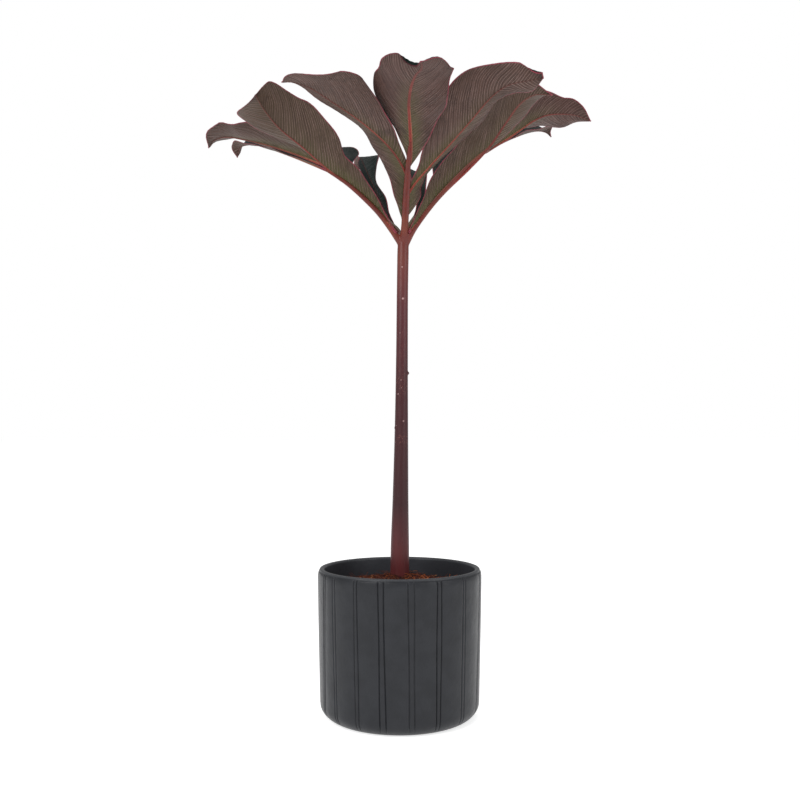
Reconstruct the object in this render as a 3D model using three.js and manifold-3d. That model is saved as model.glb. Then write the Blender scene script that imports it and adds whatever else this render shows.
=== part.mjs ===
// A potted amorphophallus atroviridis: one umbrella-shaped leaf on a tall stalk,
// grown from a tuber in coir soil, in a round pot with irregular upright folds.
// Millimetres, +Z up. The origin is the centre of the pot's underside, the front is -Y.
import * as THREE from 'three';
import { mergeVertices } from 'three/addons/utils/BufferGeometryUtils.js';
import Module from 'manifold-3d';

const wasm = await Module();
wasm.setup();

// Pot
const POT_HEIGHT = 126;
const POT_RADIUS = 70;
const POT_WALL = 5.5;
const POT_FLOOR = 6;
const POT_FOOT_RADIUS = 57;
const POT_CORNER = 12;
const POT_TAPER = 2.4;
const POT_RIM_ROUND = 1.2;
const POT_SIDES = 48;
const FOLD_RIDGE = 0.4;
const FOLD_GROOVE = 1.0;
const FOLD_TOP = 122.5;
const FOLD_BOTTOM = 5;
const FOLD_PLAIN_SWELL = 0.3;
// Half-angles of a fold, degrees: the raised strip, the bottom of its grooves, and their outer edge.
const STRIP_ANGLE = 1.2;
const GROOVE_ANGLE = 1.9;
const FOLD_ANGLE = 2.7;
// Each upright fold: its angle under the rim and its angle at the foot, degrees from the front.
const FOLDS = [
  [-168, -166], [-147, -145], [-127, -128], [-106, -104], [-84, -86], [-62, -66], [-50, -49],
  [-30.5, -29.5], [-12.5, -11], [7.5, 8.5], [27, 27], [48.5, 48.5], [74, 70.5], [93, 94],
  [113, 115], [134, 133], [153, 155], [173, 172],
];

// The inside of the pot near its floor: how far it steps in from the wall, at each height.
const POT_INSIDE = [[3.5, 14], [1.5, 26], [0, 60]];

// Soil and tuber
const SOIL_EDGE_Z = 109;
const SOIL_MOUND = 10;
const SOIL_SEGMENTS = 36;
const TUBER_RADIUS = 27;
const TUBER_HALF_HEIGHT = 17;
const TUBER_Z = 62;
const TUBER_DIMPLE = 1;
const TUBER_BANDS = 10;

// Stalk
const STALK_FOOT_Z = 77;
const STALK_STEPS = 20;
const STALK_SIDES = 14;
const ARM_STEPS = 9;
const ARM_SIDES = 8;

// Gap between pieces that touch
const GAP = 0.3;

// Leaflets
const BLADE = 0.9;
const STEPS_ALONG = 16;
const STEPS_ACROSS = 4;
const MIDRIB_HALF_WIDTH = 1.3;
const MIDRIB_DEPTH = 1.5;
const MARGIN_WAVE = 1.1;
const BLADE_CURL = 20;
const TIP_HALF_WIDTH = 0.5;

// A Catmull-Rom curve through plain numbers, read at t from 0 to 1.
function along(values, t) {
  if (values.length === 1) return values[0];
  const points = values.map((v) => new THREE.Vector3(v, 0, 0));
  return new THREE.CatmullRomCurve3(points, false, 'catmullrom', 0.5).getPoint(t).x;
}

// A straight-line blend through plain numbers, read at t from 0 to 1.
function blend(values, t) {
  const place = Math.min(Math.max(t, 0), 1) * (values.length - 1);
  const i = Math.min(Math.floor(place), values.length - 2);
  return values[i] + (values[i + 1] - values[i]) * (place - i);
}

function curveThrough(points) {
  const knots = points.map((p) => new THREE.Vector3(...p));
  return new THREE.CatmullRomCurve3(knots, false, 'catmullrom', 0.5);
}

function geometryOf(points, triangles) {
  const geometry = new THREE.BufferGeometry();
  geometry.setAttribute('position', new THREE.Float32BufferAttribute(points.flat(), 3));
  geometry.setIndex(triangles.flat());
  return geometry;
}

function solidOf(geometry) {
  const bare = geometry.clone();
  bare.deleteAttribute('normal');
  bare.deleteAttribute('uv');
  const merged = mergeVertices(bare, 1e-4);
  return new wasm.Manifold(new wasm.Mesh({
    numProp: 3,
    vertProperties: new Float32Array(merged.attributes.position.array),
    triVerts: new Uint32Array(merged.index.array),
  }));
}

function largestPiece(solid) {
  const pieces = solid.decompose();
  pieces.sort((a, b) => b.volume() - a.volume());
  return pieces[0];
}

function geometryFrom(solid) {
  const mesh = solid.getMesh();
  const geometry = new THREE.BufferGeometry();
  const positions = new Float32Array(mesh.vertProperties);
  geometry.setAttribute('position', new THREE.BufferAttribute(positions, 3));
  geometry.setIndex(new THREE.BufferAttribute(new Uint32Array(mesh.triVerts), 1));
  geometry.computeVertexNormals();
  return geometry;
}

// A closed skin over rings of equal length, the first and last closed by a fan.
function skinOver(rings) {
  const sides = rings[0].length;
  const points = rings.flat();
  const triangles = [];
  for (let r = 0; r + 1 < rings.length; r += 1) {
    for (let s = 0; s < sides; s += 1) {
      const a = r * sides + s;
      const b = r * sides + ((s + 1) % sides);
      triangles.push([a, b, a + sides], [b, b + sides, a + sides]);
    }
  }
  const middle = (ring) => [0, 1, 2].map((k) => ring.reduce((sum, p) => sum + p[k], 0) / sides);
  const first = points.push(middle(rings[0])) - 1;
  const last = points.push(middle(rings[rings.length - 1])) - 1;
  const start = (rings.length - 1) * sides;
  for (let s = 0; s < sides; s += 1) {
    const next = (s + 1) % sides;
    triangles.push([first, next, s], [last, start + s, start + next]);
  }
  return geometryOf(points, triangles);
}

// A round stem that tapers along a path. grow widens it and lengthens it by the same amount.
function stem(path, radii, steps, sides, grow = 0) {
  const curve = curveThrough(path);
  const rings = [];
  for (let i = 0; i <= steps; i += 1) {
    const t = i / steps;
    const centre = curve.getPoint(t);
    const tangent = curve.getTangent(t);
    if (i === 0) centre.addScaledVector(tangent, -grow);
    if (i === steps) centre.addScaledVector(tangent, grow);
    const across = new THREE.Vector3(0, 1, 0).cross(tangent).normalize();
    const other = new THREE.Vector3().crossVectors(tangent, across);
    const radius = along(radii, t) + grow;
    const ring = [];
    for (let s = 0; s < sides; s += 1) {
      const angle = (2 * Math.PI * s) / sides;
      const p = centre.clone();
      p.addScaledVector(across, radius * Math.cos(angle));
      p.addScaledVector(other, radius * Math.sin(angle));
      ring.push(p.toArray());
    }
    rings.push(ring);
  }
  return skinOver(rings);
}

// The pot's plain wall: its outer radius at a height.
function potRadius(z) {
  const wall = POT_RADIUS - POT_TAPER * Math.pow(1 - z / POT_HEIGHT, 1.4);
  if (z >= POT_CORNER) return wall;
  const drop = 1 - z / POT_CORNER;
  return wall - (wall - POT_FOOT_RADIUS) * (1 - Math.sqrt(1 - drop * drop));
}

// The pot is thrown as a plain cylinder; narrow raised strips between two grooves run up it.
function potSolid() {
  const profile = [[-FOLD_ANGLE, 0], [-GROOVE_ANGLE, -FOLD_GROOVE], [-STRIP_ANGLE, FOLD_RIDGE],
    [STRIP_ANGLE, FOLD_RIDGE], [GROOVE_ANGLE, -FOLD_GROOVE], [FOLD_ANGLE, 0]];
  const levels = [[0, 0], [1, 0], [FOLD_BOTTOM, 0.4], [POT_CORNER, 1], [POT_HEIGHT / 2, 1],
    [FOLD_TOP - 3, 1], [FOLD_TOP, 0], [POT_HEIGHT - POT_RIM_ROUND, 0]];
  const rings = levels.map(([z, depth]) => {
    const down = 1 - z / POT_HEIGHT;
    const ring = [];
    FOLDS.forEach(([top, foot], i) => {
      const angle = top + (foot - top) * down;
      const [nextTop, nextFoot] = FOLDS[(i + 1) % FOLDS.length];
      const turn = i + 1 === FOLDS.length ? 360 : 0;
      const next = nextTop + (nextFoot - nextTop) * down + turn;
      const stations = profile.map(([a, lift]) => [angle + a, lift * depth]);
      stations.push([(angle + next) / 2, FOLD_PLAIN_SWELL * depth]);
      stations.forEach(([a, lift]) => {
        const radius = potRadius(z) + lift;
        const turned = THREE.MathUtils.degToRad(a - 90);
        ring.push([radius * Math.cos(turned), radius * Math.sin(turned), z]);
      });
    });
    return ring;
  });
  const rim = rings[rings.length - 1].map(([x, y]) => {
    const shrink = (POT_RADIUS - POT_RIM_ROUND) / Math.hypot(x, y);
    return [x * shrink, y * shrink, POT_HEIGHT];
  });
  rings.push(rim);
  const inside = POT_RADIUS - POT_WALL;
  const hollow = [[0, POT_FLOOR], [POT_FOOT_RADIUS - 3, POT_FLOOR]];
  POT_INSIDE.forEach(([step, z]) => hollow.push([inside - step, z]));
  hollow.push([inside, POT_HEIGHT - 1.5], [inside + 1.5, POT_HEIGHT + 0.5], [0, POT_HEIGHT + 0.5]);
  const inner = new THREE.LatheGeometry(hollow.map(([r, z]) => new THREE.Vector2(r, z)), POT_SIDES);
  inner.rotateX(Math.PI / 2);
  return solidOf(skinOver(rings)).subtract(solidOf(inner));
}

// The soil's height: level at the wall, mounded round the stalk, with crumbs and dips.
function soilHeight(x, y) {
  const r = Math.hypot(x, y) / (POT_RADIUS - POT_WALL);
  const mound = SOIL_MOUND * Math.pow(1 - Math.min(r, 1), 1.3);
  const dips = 1.2 * Math.sin(0.31 * x + 1.3) * Math.cos(0.27 * y - 0.6);
  const crumbs = 0.8 * Math.sin(0.7 * x - 0.5 * y);
  return SOIL_EDGE_Z + mound + dips + crumbs;
}

function soilSolid(hollow) {
  const inside = POT_RADIUS - POT_WALL - GAP;
  const levels = [[POT_FOOT_RADIUS - 4, POT_FLOOR + GAP]];
  POT_INSIDE.forEach(([step, z]) => levels.push([inside - step - 0.1, z]));
  const ringAt = (radius, height) => Array.from({ length: SOIL_SEGMENTS }, (_, s) => {
    const angle = (2 * Math.PI * s) / SOIL_SEGMENTS;
    const x = radius * Math.cos(angle) * Math.cos(Math.PI / POT_SIDES);
    const y = radius * Math.sin(angle) * Math.cos(Math.PI / POT_SIDES);
    return [x, y, height === null ? soilHeight(x, y) : height];
  });
  const rings = levels.map(([radius, z]) => ringAt(radius, z));
  [1, 0.82, 0.62, 0.42, 0.22].forEach((part) => rings.push(ringAt(inside * part, null)));
  return solidOf(skinOver(rings)).subtract(hollow);
}

// The tuber is a flattened globe with a dimple on top where the stalk grows out.
function tuberSolid(grow = 0) {
  const profile = [new THREE.Vector2(0, TUBER_Z - TUBER_HALF_HEIGHT - grow)];
  for (let i = 1; i < TUBER_BANDS; i += 1) {
    const angle = -Math.PI / 2 + (Math.PI * i) / TUBER_BANDS;
    profile.push(new THREE.Vector2(
      (TUBER_RADIUS + grow) * Math.cos(angle),
      TUBER_Z + (TUBER_HALF_HEIGHT + grow) * Math.sin(angle),
    ));
  }
  profile.push(new THREE.Vector2(0, TUBER_Z + TUBER_HALF_HEIGHT - TUBER_DIMPLE + grow));
  const globe = new THREE.LatheGeometry(profile, 24);
  globe.rotateX(Math.PI / 2);
  return solidOf(globe);
}

// The stalk and, at its top, its three arms and the two back arms that carry the leaflets. The
// four leaflets behind the side arms each stand on a short foot that leaves the arm's upper side.
const STALK = {
  path: [[0.2, 0, STALK_FOOT_Z], [0.2, 0, 136], [0.8, 0, 185], [1.5, 0, 240], [2, 0, 300],
    [2.4, 0, 360], [3, 0, 400], [3.4, 0, 411]],
  radii: [8.2, 8.1, 6.9, 5.9, 5.2, 4.9, 4.9, 4.2],
};
const ARMS = {
  front: {
    path: [[3.4, 0, 404], [4.6, -8, 421], [5.4, -25, 436.5], [6.2, -38, 447], [7, -53, 459],
      [8.2, -66, 469]],
    radii: [3.9, 3.2, 3.0, 2.7, 2.1, 1.4],
  },
  left: {
    path: [[2.6, 0, 404], [-8.5, -2, 419], [-20.8, -6, 433.4], [-42.3, -13, 451.7], [-62, -21, 463]],
    radii: [3.6, 2.7, 2.3, 1.9, 1.3],
  },
  right: {
    path: [[4.2, 0, 404], [13.6, -3, 419.3], [30.6, -8, 440.4], [55.2, -17, 464.6], [75, -28, 479.5]],
    radii: [3.6, 2.7, 2.3, 1.9, 1.3],
  },
  backLeft: {
    path: [[3, 0, 405], [-1.5, 6, 417], [-10, 15, 428], [-18, 26, 442]],
    radii: [3.2, 2.7, 2.1, 1.3],
  },
  backRight: {
    path: [[4, 0, 405], [6, 6, 417], [12, 14, 429], [19, 25, 443]],
    radii: [3.2, 2.7, 2.1, 1.3],
  },
  leftMiddleFoot: {
    path: [[-49, -15.4, 455.9], [-53.5, -15.8, 461], [-57, -16, 466], [-60, -15.2, 467.6]],
    radii: [1.8, 1.6, 1.4, 1.1],
  },
  leftBackFoot: {
    path: [[-49, -15.4, 455.9], [-55, -14, 461], [-60, -12, 465.2], [-62.6, -9.3, 467]],
    radii: [1.8, 1.6, 1.4, 1.1],
  },
  rightMiddleFoot: {
    path: [[61, -20.2, 469.3], [68.5, -20.3, 475.3], [75, -19, 481], [77.8, -18, 483]],
    radii: [1.8, 1.6, 1.4, 1.1],
  },
  rightBackFoot: {
    path: [[61, -20.2, 469.3], [67.5, -17, 475.5], [73, -13, 480.8], [74.8, -10.2, 482.8]],
    radii: [1.8, 1.6, 1.4, 1.1],
  },
};

function stalkSolid(grow = 0) {
  let solid = solidOf(stem(STALK.path, STALK.radii, STALK_STEPS, STALK_SIDES, grow));
  Object.values(ARMS).forEach(({ path, radii }) => {
    solid = solid.add(solidOf(stem(path, radii, ARM_STEPS, ARM_SIDES, grow)));
  });
  return solid;
}

// Every leaflet: the points its midrib passes, half-widths of its two halves at even stations from
// stem to tip (left and right as seen walking out along the upper side), how far it rolls to the
// right along the way, and how far each half folds up from the midrib, in degrees.
const LEAFLETS = {
  leaflet_front_left: {
    midrib: [[2, -10, 424], [7, -24, 438], [6, -39, 451], [-1, -54, 462], [-14, -69, 473],
      [-32, -82, 484], [-51, -94, 493], [-66, -105, 499], [-78, -114, 500], [-87, -114, 500]],
    left: [0, 0, 1, 4.5, 9, 22, 34, 43, 38, 16, 0],
    right: [0, 11, 15, 18, 18, 14, 14.8, 13, 11, 6.5, 0],
    roll: [16, 4, -8], foldLeft: [10, -12], foldRight: [10, 0],
  },
  leaflet_front_middle: {
    midrib: [[8, -46, 457], [9, -67, 469], [8, -89, 478], [7, -111, 484.5], [8, -131, 488.5],
      [11, -148, 491], [15, -161, 491], [14, -171, 491.5]],
    left: [0, 8, 15, 21, 27.5, 28.5, 28, 29.5, 22, 10, 0],
    right: [0, 5, 13, 23, 29.5, 31, 27, 26.5, 17.5, 12, 0],
    roll: [-6, -13, 8], foldLeft: [-10, 6, 22], foldRight: [0, 13, 22],
  },
  leaflet_front_right: {
    midrib: [[5.4, -11, 424], [6, -26, 438], [12.5, -35.6, 447.7], [25.2, -45.3, 459.9],
      [40.3, -58.3, 472.9], [56.4, -73.4, 487], [69.6, -85.5, 499.1], [81.6, -94.6, 505.1],
      [95.8, -99.6, 506.6], [107.9, -103.7, 507.1]],
    left: [0, 14, 13, 12, 16, 18, 15, 11, 13, 13, 0],
    right: [0, 0, 3, 8, 20, 31, 35, 33, 24, 13, 0],
    roll: [-6, 5, -32], foldLeft: [16, 5, -6], foldRight: [14, 6, -12],
  },
  leaflet_left_front: {
    midrib: [[-2, -3, 414], [-21, -5, 434], [-41, -12, 451], [-61, -22, 464], [-80, -37, 477],
      [-97, -53, 487], [-107, -70, 496], [-110.5, -89, 499.8]],
    left: [0, 4, 11, 16, 18, 28.8, 31, 29, 26.5, 20, 0],
    right: [0, 0, 0, 0, 1, 5, 12, 18, 21, 19, 0],
    roll: [30, 6, 56], foldLeft: [17, 20], foldRight: [20, 20],
  },
  leaflet_left_middle: {
    midrib: [[-57, -16, 466], [-87, -8, 480], [-113, -2, 490], [-134, 2, 496], [-150, 4, 499],
      [-161, 4, 496], [-166, 4, 489]],
    left: [0, 7, 17, 26, 29, 30, 25.5, 23, 21, 12, 0],
    right: [0, 3, 9, 15, 20, 22, 22, 21, 20, 10, 0],
    roll: [25, -1, 3], foldLeft: [3, -5], foldRight: [6, 7],
  },
  leaflet_left_back: {
    midrib: [[-60, -12, 465], [-85, 14, 482], [-107, 36, 496], [-127, 53, 507], [-142, 65, 512],
      [-151, 72, 511], [-154, 76, 503]],
    left: [0, 3, 8, 13, 16, 17, 16, 15, 11.5, 6, 0],
    right: [0, 5, 14, 20, 23, 24, 22, 19, 14, 6, 0],
    roll: [-10, -25, -15], foldLeft: [12, 3], foldRight: [15, 15],
  },
  leaflet_right_front: {
    midrib: [[7, -5, 414], [22.6, -6, 431], [39.5, -10, 448.6], [58.5, -18, 464.8],
      [75, -28, 480], [87, -41, 495], [97, -54, 506], [107, -65, 509], [119, -76, 505]],
    left: [0, 0, 0, 0, 0, 4, 11, 15, 15, 9, 0],
    right: [0, 7, 13, 19.5, 23.5, 31, 33, 29, 18, 7, 0],
    roll: [-13, -72, -59], foldLeft: [70, 60], foldRight: [18, 18],
  },
  leaflet_right_middle: {
    midrib: [[75, -19, 481], [90, -14, 491], [103, -9, 501], [115, -5, 510], [127, -1, 516],
      [140, 2, 518], [153, 3, 517], [166, 3, 512]],
    left: [0, 0, 2, 6, 13, 18, 22, 23, 20, 9, 0],
    right: [0, 8, 17, 24, 26, 24, 19, 15, 13, 8, 0],
    roll: [-20, -31, -34], foldLeft: [14, 12], foldRight: [14, 14],
  },
  leaflet_right_back: {
    midrib: [[73, -13, 481], [89, 13, 497], [104, 33, 509], [118, 48, 518], [129, 59, 523],
      [137, 64, 523], [142, 65, 519]],
    left: [0, 4, 14, 20, 23, 24, 22, 19, 14, 6, 0],
    right: [0, 7, 14, 18, 20, 20, 18, 15, 11, 5, 0],
    roll: [10, 25, 15], foldLeft: [15, 15], foldRight: [15, 15],
  },
  leaflet_back_left_inner: {
    midrib: [[0, 4, 413], [-7, 13, 426], [-15, 27, 444], [-24, 43, 467], [-32, 60, 488],
      [-37, 78, 503], [-40, 96, 509], [-42, 112, 509], [-44, 126, 504]],
    left: [0, 0, 2, 7, 9.5, 8, 3, 3, 3, 3, 0],
    right: [0, 2, 3, 6.5, 5, 11, 17, 18, 16, 10, 0],
    roll: [0, 0, 0], foldLeft: [12, 10], foldRight: [10, -4],
  },
  leaflet_back_left_outer: {
    midrib: [[-9, 13, 425], [-22, 24, 442], [-38, 36, 464], [-54, 48, 487], [-69, 63, 503],
      [-82, 79, 513], [-93, 94, 518], [-101, 105, 519], [-106, 113, 516]],
    left: [0, 2, 9, 17, 23, 25, 25, 22, 16, 7, 0],
    right: [0, 2, 5, 9, 18, 38, 39, 26, 16, 8, 0],
    roll: [0, 0, 0], foldLeft: [15, 10], foldRight: [4, 0],
  },
  leaflet_back_right_outer: {
    midrib: [[5, 4, 413], [14, 13, 427], [24, 27, 445], [35, 43, 467], [46, 60, 490],
      [57, 77, 508], [67, 94, 519], [76, 110, 523], [82, 122, 521]],
    left: [0, 0, 2, 4, 7, 17, 21, 22, 17, 8, 0],
    right: [0, 3, 6, 9, 14, 20, 24, 24, 18, 8, 0],
    roll: [0, 0, 0], foldLeft: [15, 15], foldRight: [15, 12],
  },
  leaflet_back_right_inner: {
    midrib: [[4.5, 4, 413], [12.2, 14, 431], [16.5, 27, 447], [19.5, 43, 464], [20.5, 62, 480],
      [19, 84, 491.5], [16, 107, 496], [12, 127, 494], [9, 141, 487]],
    left: [0, 0.6, 0.8, 3, 8, 11, 12, 12, 10, 5, 0],
    right: [0, 1.5, 4.5, 6, 5, 5.5, 7, 8, 8, 4, 0],
    roll: [0, 0, 0], foldLeft: [0, 8], foldRight: [12, 12],
  },
};

// The leaflet's middle surface at t along the midrib and s from -1, left margin, to 1, right margin.
function bladePoint(leaflet, curve, t, s, grow) {
  const centre = curve.getPoint(t);
  const tangent = curve.getTangent(t);
  const up = new THREE.Vector3(0, 0, 1);
  up.addScaledVector(tangent, -up.dot(tangent)).normalize();
  const roll = THREE.MathUtils.degToRad(blend(leaflet.roll, t));
  const normal = up.clone().multiplyScalar(Math.cos(roll));
  normal.add(new THREE.Vector3().crossVectors(tangent, up).multiplyScalar(Math.sin(roll)));
  const right = new THREE.Vector3().crossVectors(tangent, normal);
  const side = s < 0 ? -1 : 1;
  const part = Math.abs(s);
  const half = Math.max(along(s < 0 ? leaflet.left : leaflet.right, t), TIP_HALF_WIDTH) + grow;
  const fold = THREE.MathUtils.degToRad(blend(s < 0 ? leaflet.foldLeft : leaflet.foldRight, t));
  const curl = THREE.MathUtils.degToRad(BLADE_CURL);
  const out = (half * (Math.sin(fold + curl * part) - Math.sin(fold))) / curl;
  const lift = (half * (Math.cos(fold) - Math.cos(fold + curl * part))) / curl;
  const ripple = MARGIN_WAVE * Math.sin(7 * Math.PI * t + (s < 0 ? 0 : 1.9)) * part * part;
  centre.addScaledVector(right, side * out);
  centre.addScaledVector(normal, lift + ripple * Math.min(1, half / 15));
  return centre;
}

// A closed blade: the middle surface moved half its thickness each way, both faces cut into
// triangles alike, with the midrib as a keel under it.
function leafletSolid(leaflet, grow = 0) {
  const curve = curveThrough(leaflet.midrib);
  const columns = [];
  for (let j = -STEPS_ACROSS; j <= STEPS_ACROSS; j += 1) columns.push(j);
  const rows = [];
  for (let i = 0; i <= STEPS_ALONG; i += 1) {
    const t = i / STEPS_ALONG;
    rows.push(columns.map((j) => {
      const side = j < 0 ? leaflet.left : leaflet.right;
      const half = Math.max(along(side, t), TIP_HALF_WIDTH) + grow;
      const keel = Math.min(0.5, MIDRIB_HALF_WIDTH / half);
      const step = Math.abs(j);
      const part = step <= 1 ? step * keel : keel + ((step - 1) / (STEPS_ACROSS - 1)) * (1 - keel);
      return bladePoint(leaflet, curve, t, Math.sign(j) * part, grow);
    }));
  }
  const wide = columns.length;
  const normalAt = (i, j) => {
    const before = rows[Math.max(i - 1, 0)][j];
    const after = rows[Math.min(i + 1, STEPS_ALONG)][j];
    const left = rows[i][Math.max(j - 1, 0)];
    const rightward = rows[i][Math.min(j + 1, wide - 1)];
    const ahead = after.clone().sub(before);
    return new THREE.Vector3().crossVectors(rightward.clone().sub(left), ahead).normalize();
  };
  const upper = [];
  const lower = [];
  const thick = BLADE / 2 + grow;
  rows.forEach((row, i) => row.forEach((p, j) => {
    const normal = normalAt(i, j);
    const keel = j === STEPS_ACROSS ? MIDRIB_DEPTH * (1 - 0.8 * (i / STEPS_ALONG)) : 0;
    upper.push(p.clone().addScaledVector(normal, thick).toArray());
    lower.push(p.clone().addScaledVector(normal, -thick - keel).toArray());
  }));
  const count = upper.length;
  const triangles = [];
  for (let i = 0; i < STEPS_ALONG; i += 1) {
    for (let j = 0; j + 1 < wide; j += 1) {
      const a = i * wide + j;
      const b = a + 1;
      const c = a + wide;
      const d = c + 1;
      triangles.push([a, b, c], [b, d, c]);
      triangles.push([count + a, count + c, count + b], [count + b, count + c, count + d]);
    }
  }
  const edge = [];
  for (let j = 0; j + 1 < wide; j += 1) edge.push(j);
  for (let i = 0; i < STEPS_ALONG; i += 1) edge.push(i * wide + wide - 1);
  for (let j = wide - 1; j > 0; j -= 1) edge.push(STEPS_ALONG * wide + j);
  for (let i = STEPS_ALONG; i > 0; i -= 1) edge.push(i * wide);
  edge.forEach((a, k) => {
    const b = edge[(k + 1) % edge.length];
    triangles.push([a, count + a, b], [b, count + a, count + b]);
  });
  return solidOf(geometryOf([...upper, ...lower], triangles));
}

const plant = new THREE.Group();

function place(name, solid, colour, roughness, metalness = 0) {
  const material = new THREE.MeshStandardMaterial({ color: colour, roughness, metalness });
  const mesh = new THREE.Mesh(geometryFrom(solid), material);
  mesh.name = name;
  plant.add(mesh);
}

place('pot', potSolid(), 0x3e3f43, 0.5);

const stalk = stalkSolid();
const stalkClear = stalkSolid(GAP);
const tuber = tuberSolid().subtract(stalkClear);
place('soil', soilSolid(tuberSolid(GAP).add(stalkClear)), 0x5a3322, 0.95);
place('tuber', tuber, 0x6b4a34, 0.85);
place('leaf_stalk', stalk, 0x5a2c2e, 0.45);

const cut = [];
Object.entries(LEAFLETS).forEach(([name, leaflet]) => {
  let solid = leafletSolid(leaflet).subtract(stalkClear);
  cut.forEach((earlier) => {
    solid = solid.subtract(earlier);
  });
  cut.push(leafletSolid(leaflet, GAP));
  place(name, largestPiece(solid), 0x4c3b38, 0.5);
});

export default plant;
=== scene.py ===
# A potted amorphophallus atroviridis: one divided, umbrella-like leaf on a tall stalk that
# rises from coir soil in a folded, satin-grey pot. Metres, +Z up, the front is -Y.
import math
import random

import bmesh
import bpy
import numpy as np
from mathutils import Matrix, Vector, noise


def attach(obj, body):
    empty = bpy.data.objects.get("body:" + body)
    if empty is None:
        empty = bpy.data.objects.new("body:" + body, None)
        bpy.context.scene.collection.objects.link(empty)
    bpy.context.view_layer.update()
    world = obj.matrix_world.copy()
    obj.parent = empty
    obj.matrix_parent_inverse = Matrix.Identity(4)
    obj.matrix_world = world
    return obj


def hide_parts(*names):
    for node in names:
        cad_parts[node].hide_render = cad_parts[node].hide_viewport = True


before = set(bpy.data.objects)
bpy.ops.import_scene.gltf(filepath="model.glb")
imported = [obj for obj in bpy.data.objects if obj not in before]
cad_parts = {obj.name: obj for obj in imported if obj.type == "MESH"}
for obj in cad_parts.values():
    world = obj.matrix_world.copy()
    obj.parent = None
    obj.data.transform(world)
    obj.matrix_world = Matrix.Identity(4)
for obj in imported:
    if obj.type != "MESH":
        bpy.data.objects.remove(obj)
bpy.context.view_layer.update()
MM = 0.001

# Studio: a plain pale floor that meets a white surround, one large soft lamp on the left, a
# weaker one on the right and one above, and a level camera in front of the pot.
CAMERA_PLACE = (0.0, -0.777, 0.239)
CAMERA_LENS = 40.5
CAMERA_SHIFT = (0.0005, 0.0452)
LAMPS = [
    ("lamp_left", (-1.05, -1.15, 1.15), 1.1, 19.0),
    ("lamp_right", (1.3, -0.9, 0.8), 1.0, 8.0),
    ("lamp_top", (0.1, 0.2, 1.9), 1.2, 8.0),
]
SURROUND_LIGHT = 0.42
FLOOR_GLOW = 0.64
FLOOR_REACH = 60.0
SENSOR_WIDTH = 36.0
LAMP_AIM = Vector((0.0, 0.0, 0.3))


def plain_material(name, colour, roughness):
    """A material with one Principled shader, and its node tree ready to be added to."""
    material = bpy.data.materials.new(name)
    material.use_nodes = True
    shader = material.node_tree.nodes["Principled BSDF"]
    shader.inputs["Base Color"].default_value = (*colour, 1.0)
    shader.inputs["Roughness"].default_value = roughness
    return material


def object_from(name, points, faces):
    """A smooth-shaded mesh object from point and face lists, at the origin."""
    mesh = bpy.data.meshes.new(name)
    mesh.from_pydata([tuple(p) for p in points], [], [tuple(f) for f in faces])
    mesh.validate()
    mesh.polygons.foreach_set("use_smooth", [True] * len(mesh.polygons))
    mesh.update()
    thing = bpy.data.objects.new(name, mesh)
    bpy.context.scene.collection.objects.link(thing)
    return thing


corners = [(x * FLOOR_REACH, y * FLOOR_REACH, 0.0) for x, y in ((-1, -1), (1, -1), (1, 1), (-1, 1))]
floor = object_from("floor", corners, [(0, 1, 2, 3)])
pale = plain_material("pale_floor", (0.86, 0.86, 0.86), 0.9)
pale_shader = pale.node_tree.nodes["Principled BSDF"]
pale_shader.inputs["Emission Color"].default_value = (1.0, 1.0, 1.0, 1.0)
pale_shader.inputs["Emission Strength"].default_value = FLOOR_GLOW
floor.data.materials.append(pale)

world = bpy.data.worlds.new("white_surround")
world.use_nodes = True
world.node_tree.nodes["Background"].inputs["Color"].default_value = (1.0, 1.0, 1.0, 1.0)
seen = world.node_tree.nodes.new("ShaderNodeLightPath")
bright = world.node_tree.nodes.new("ShaderNodeMapRange")
bright.inputs["To Min"].default_value = SURROUND_LIGHT
bright.inputs["To Max"].default_value = 1.0
world.node_tree.links.new(seen.outputs["Is Camera Ray"], bright.inputs["Value"])
world.node_tree.links.new(bright.outputs[0], world.node_tree.nodes["Background"].inputs["Strength"])
bpy.context.scene.world = world

for lamp_name, place, size, power in LAMPS:
    light = bpy.data.lights.new(lamp_name, "AREA")
    light.size = size
    light.energy = power
    lamp = bpy.data.objects.new(lamp_name, light)
    lamp.location = place
    lamp.rotation_euler = (LAMP_AIM - Vector(place)).to_track_quat("-Z", "Y").to_euler()
    bpy.context.scene.collection.objects.link(lamp)

lens = bpy.data.cameras.new("camera")
lens.sensor_width = SENSOR_WIDTH
lens.lens = CAMERA_LENS
lens.shift_x, lens.shift_y = CAMERA_SHIFT
camera = bpy.data.objects.new("camera", lens)
camera.location = CAMERA_PLACE
camera.rotation_euler = (math.pi / 2, 0.0, 0.0)
bpy.context.scene.collection.objects.link(camera)
bpy.context.scene.camera = camera
bpy.context.scene.view_settings.view_transform = "Standard"

# Pot: stoneware thrown as a plain cylinder with a rounded foot, its wall pressed into upright
# folds, each a narrow raised strip between two grooves. A smooth band is left under the rim.
# The whole pot has one satin, dark grey glaze. Its colour is painted lighter inside as painted light,
# lighter on the rounded rim top as a painted highlight, and darker in the grooves as painted shade.
POT_HEIGHT = 126.0
POT_RADIUS = 70.0
POT_WALL = 5.5
POT_FLOOR = 6.0
POT_FOOT_RADIUS = 57.0
POT_CORNER = 12.0
POT_TAPER = 2.4
TAPER_BEND = 1.4
RIM_ROUND_OUT = 1.5
RIM_ROUND_IN = 2.2
RIM_STEPS = 7
SHOULDER_START = 118.5
SHOULDER_EASE = 1.5
PANEL_TOP = 123.9
RIM_COLUMNS_Z = PANEL_TOP + 1.0
PANEL_SWELL = 0.32
PANEL_BOW = 0.16
PANEL_COLUMNS = 8
FOLDS_START = (1.0, 9.0)
FOLDS_END = (PANEL_TOP - 0.7, PANEL_TOP + 0.4)
STRIP_HEIGHT = 0.38
STRIP_FLATNESS = 6
GROOVE_DEPTH = 0.8
GROOVE_WIDTH = 0.95
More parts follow.
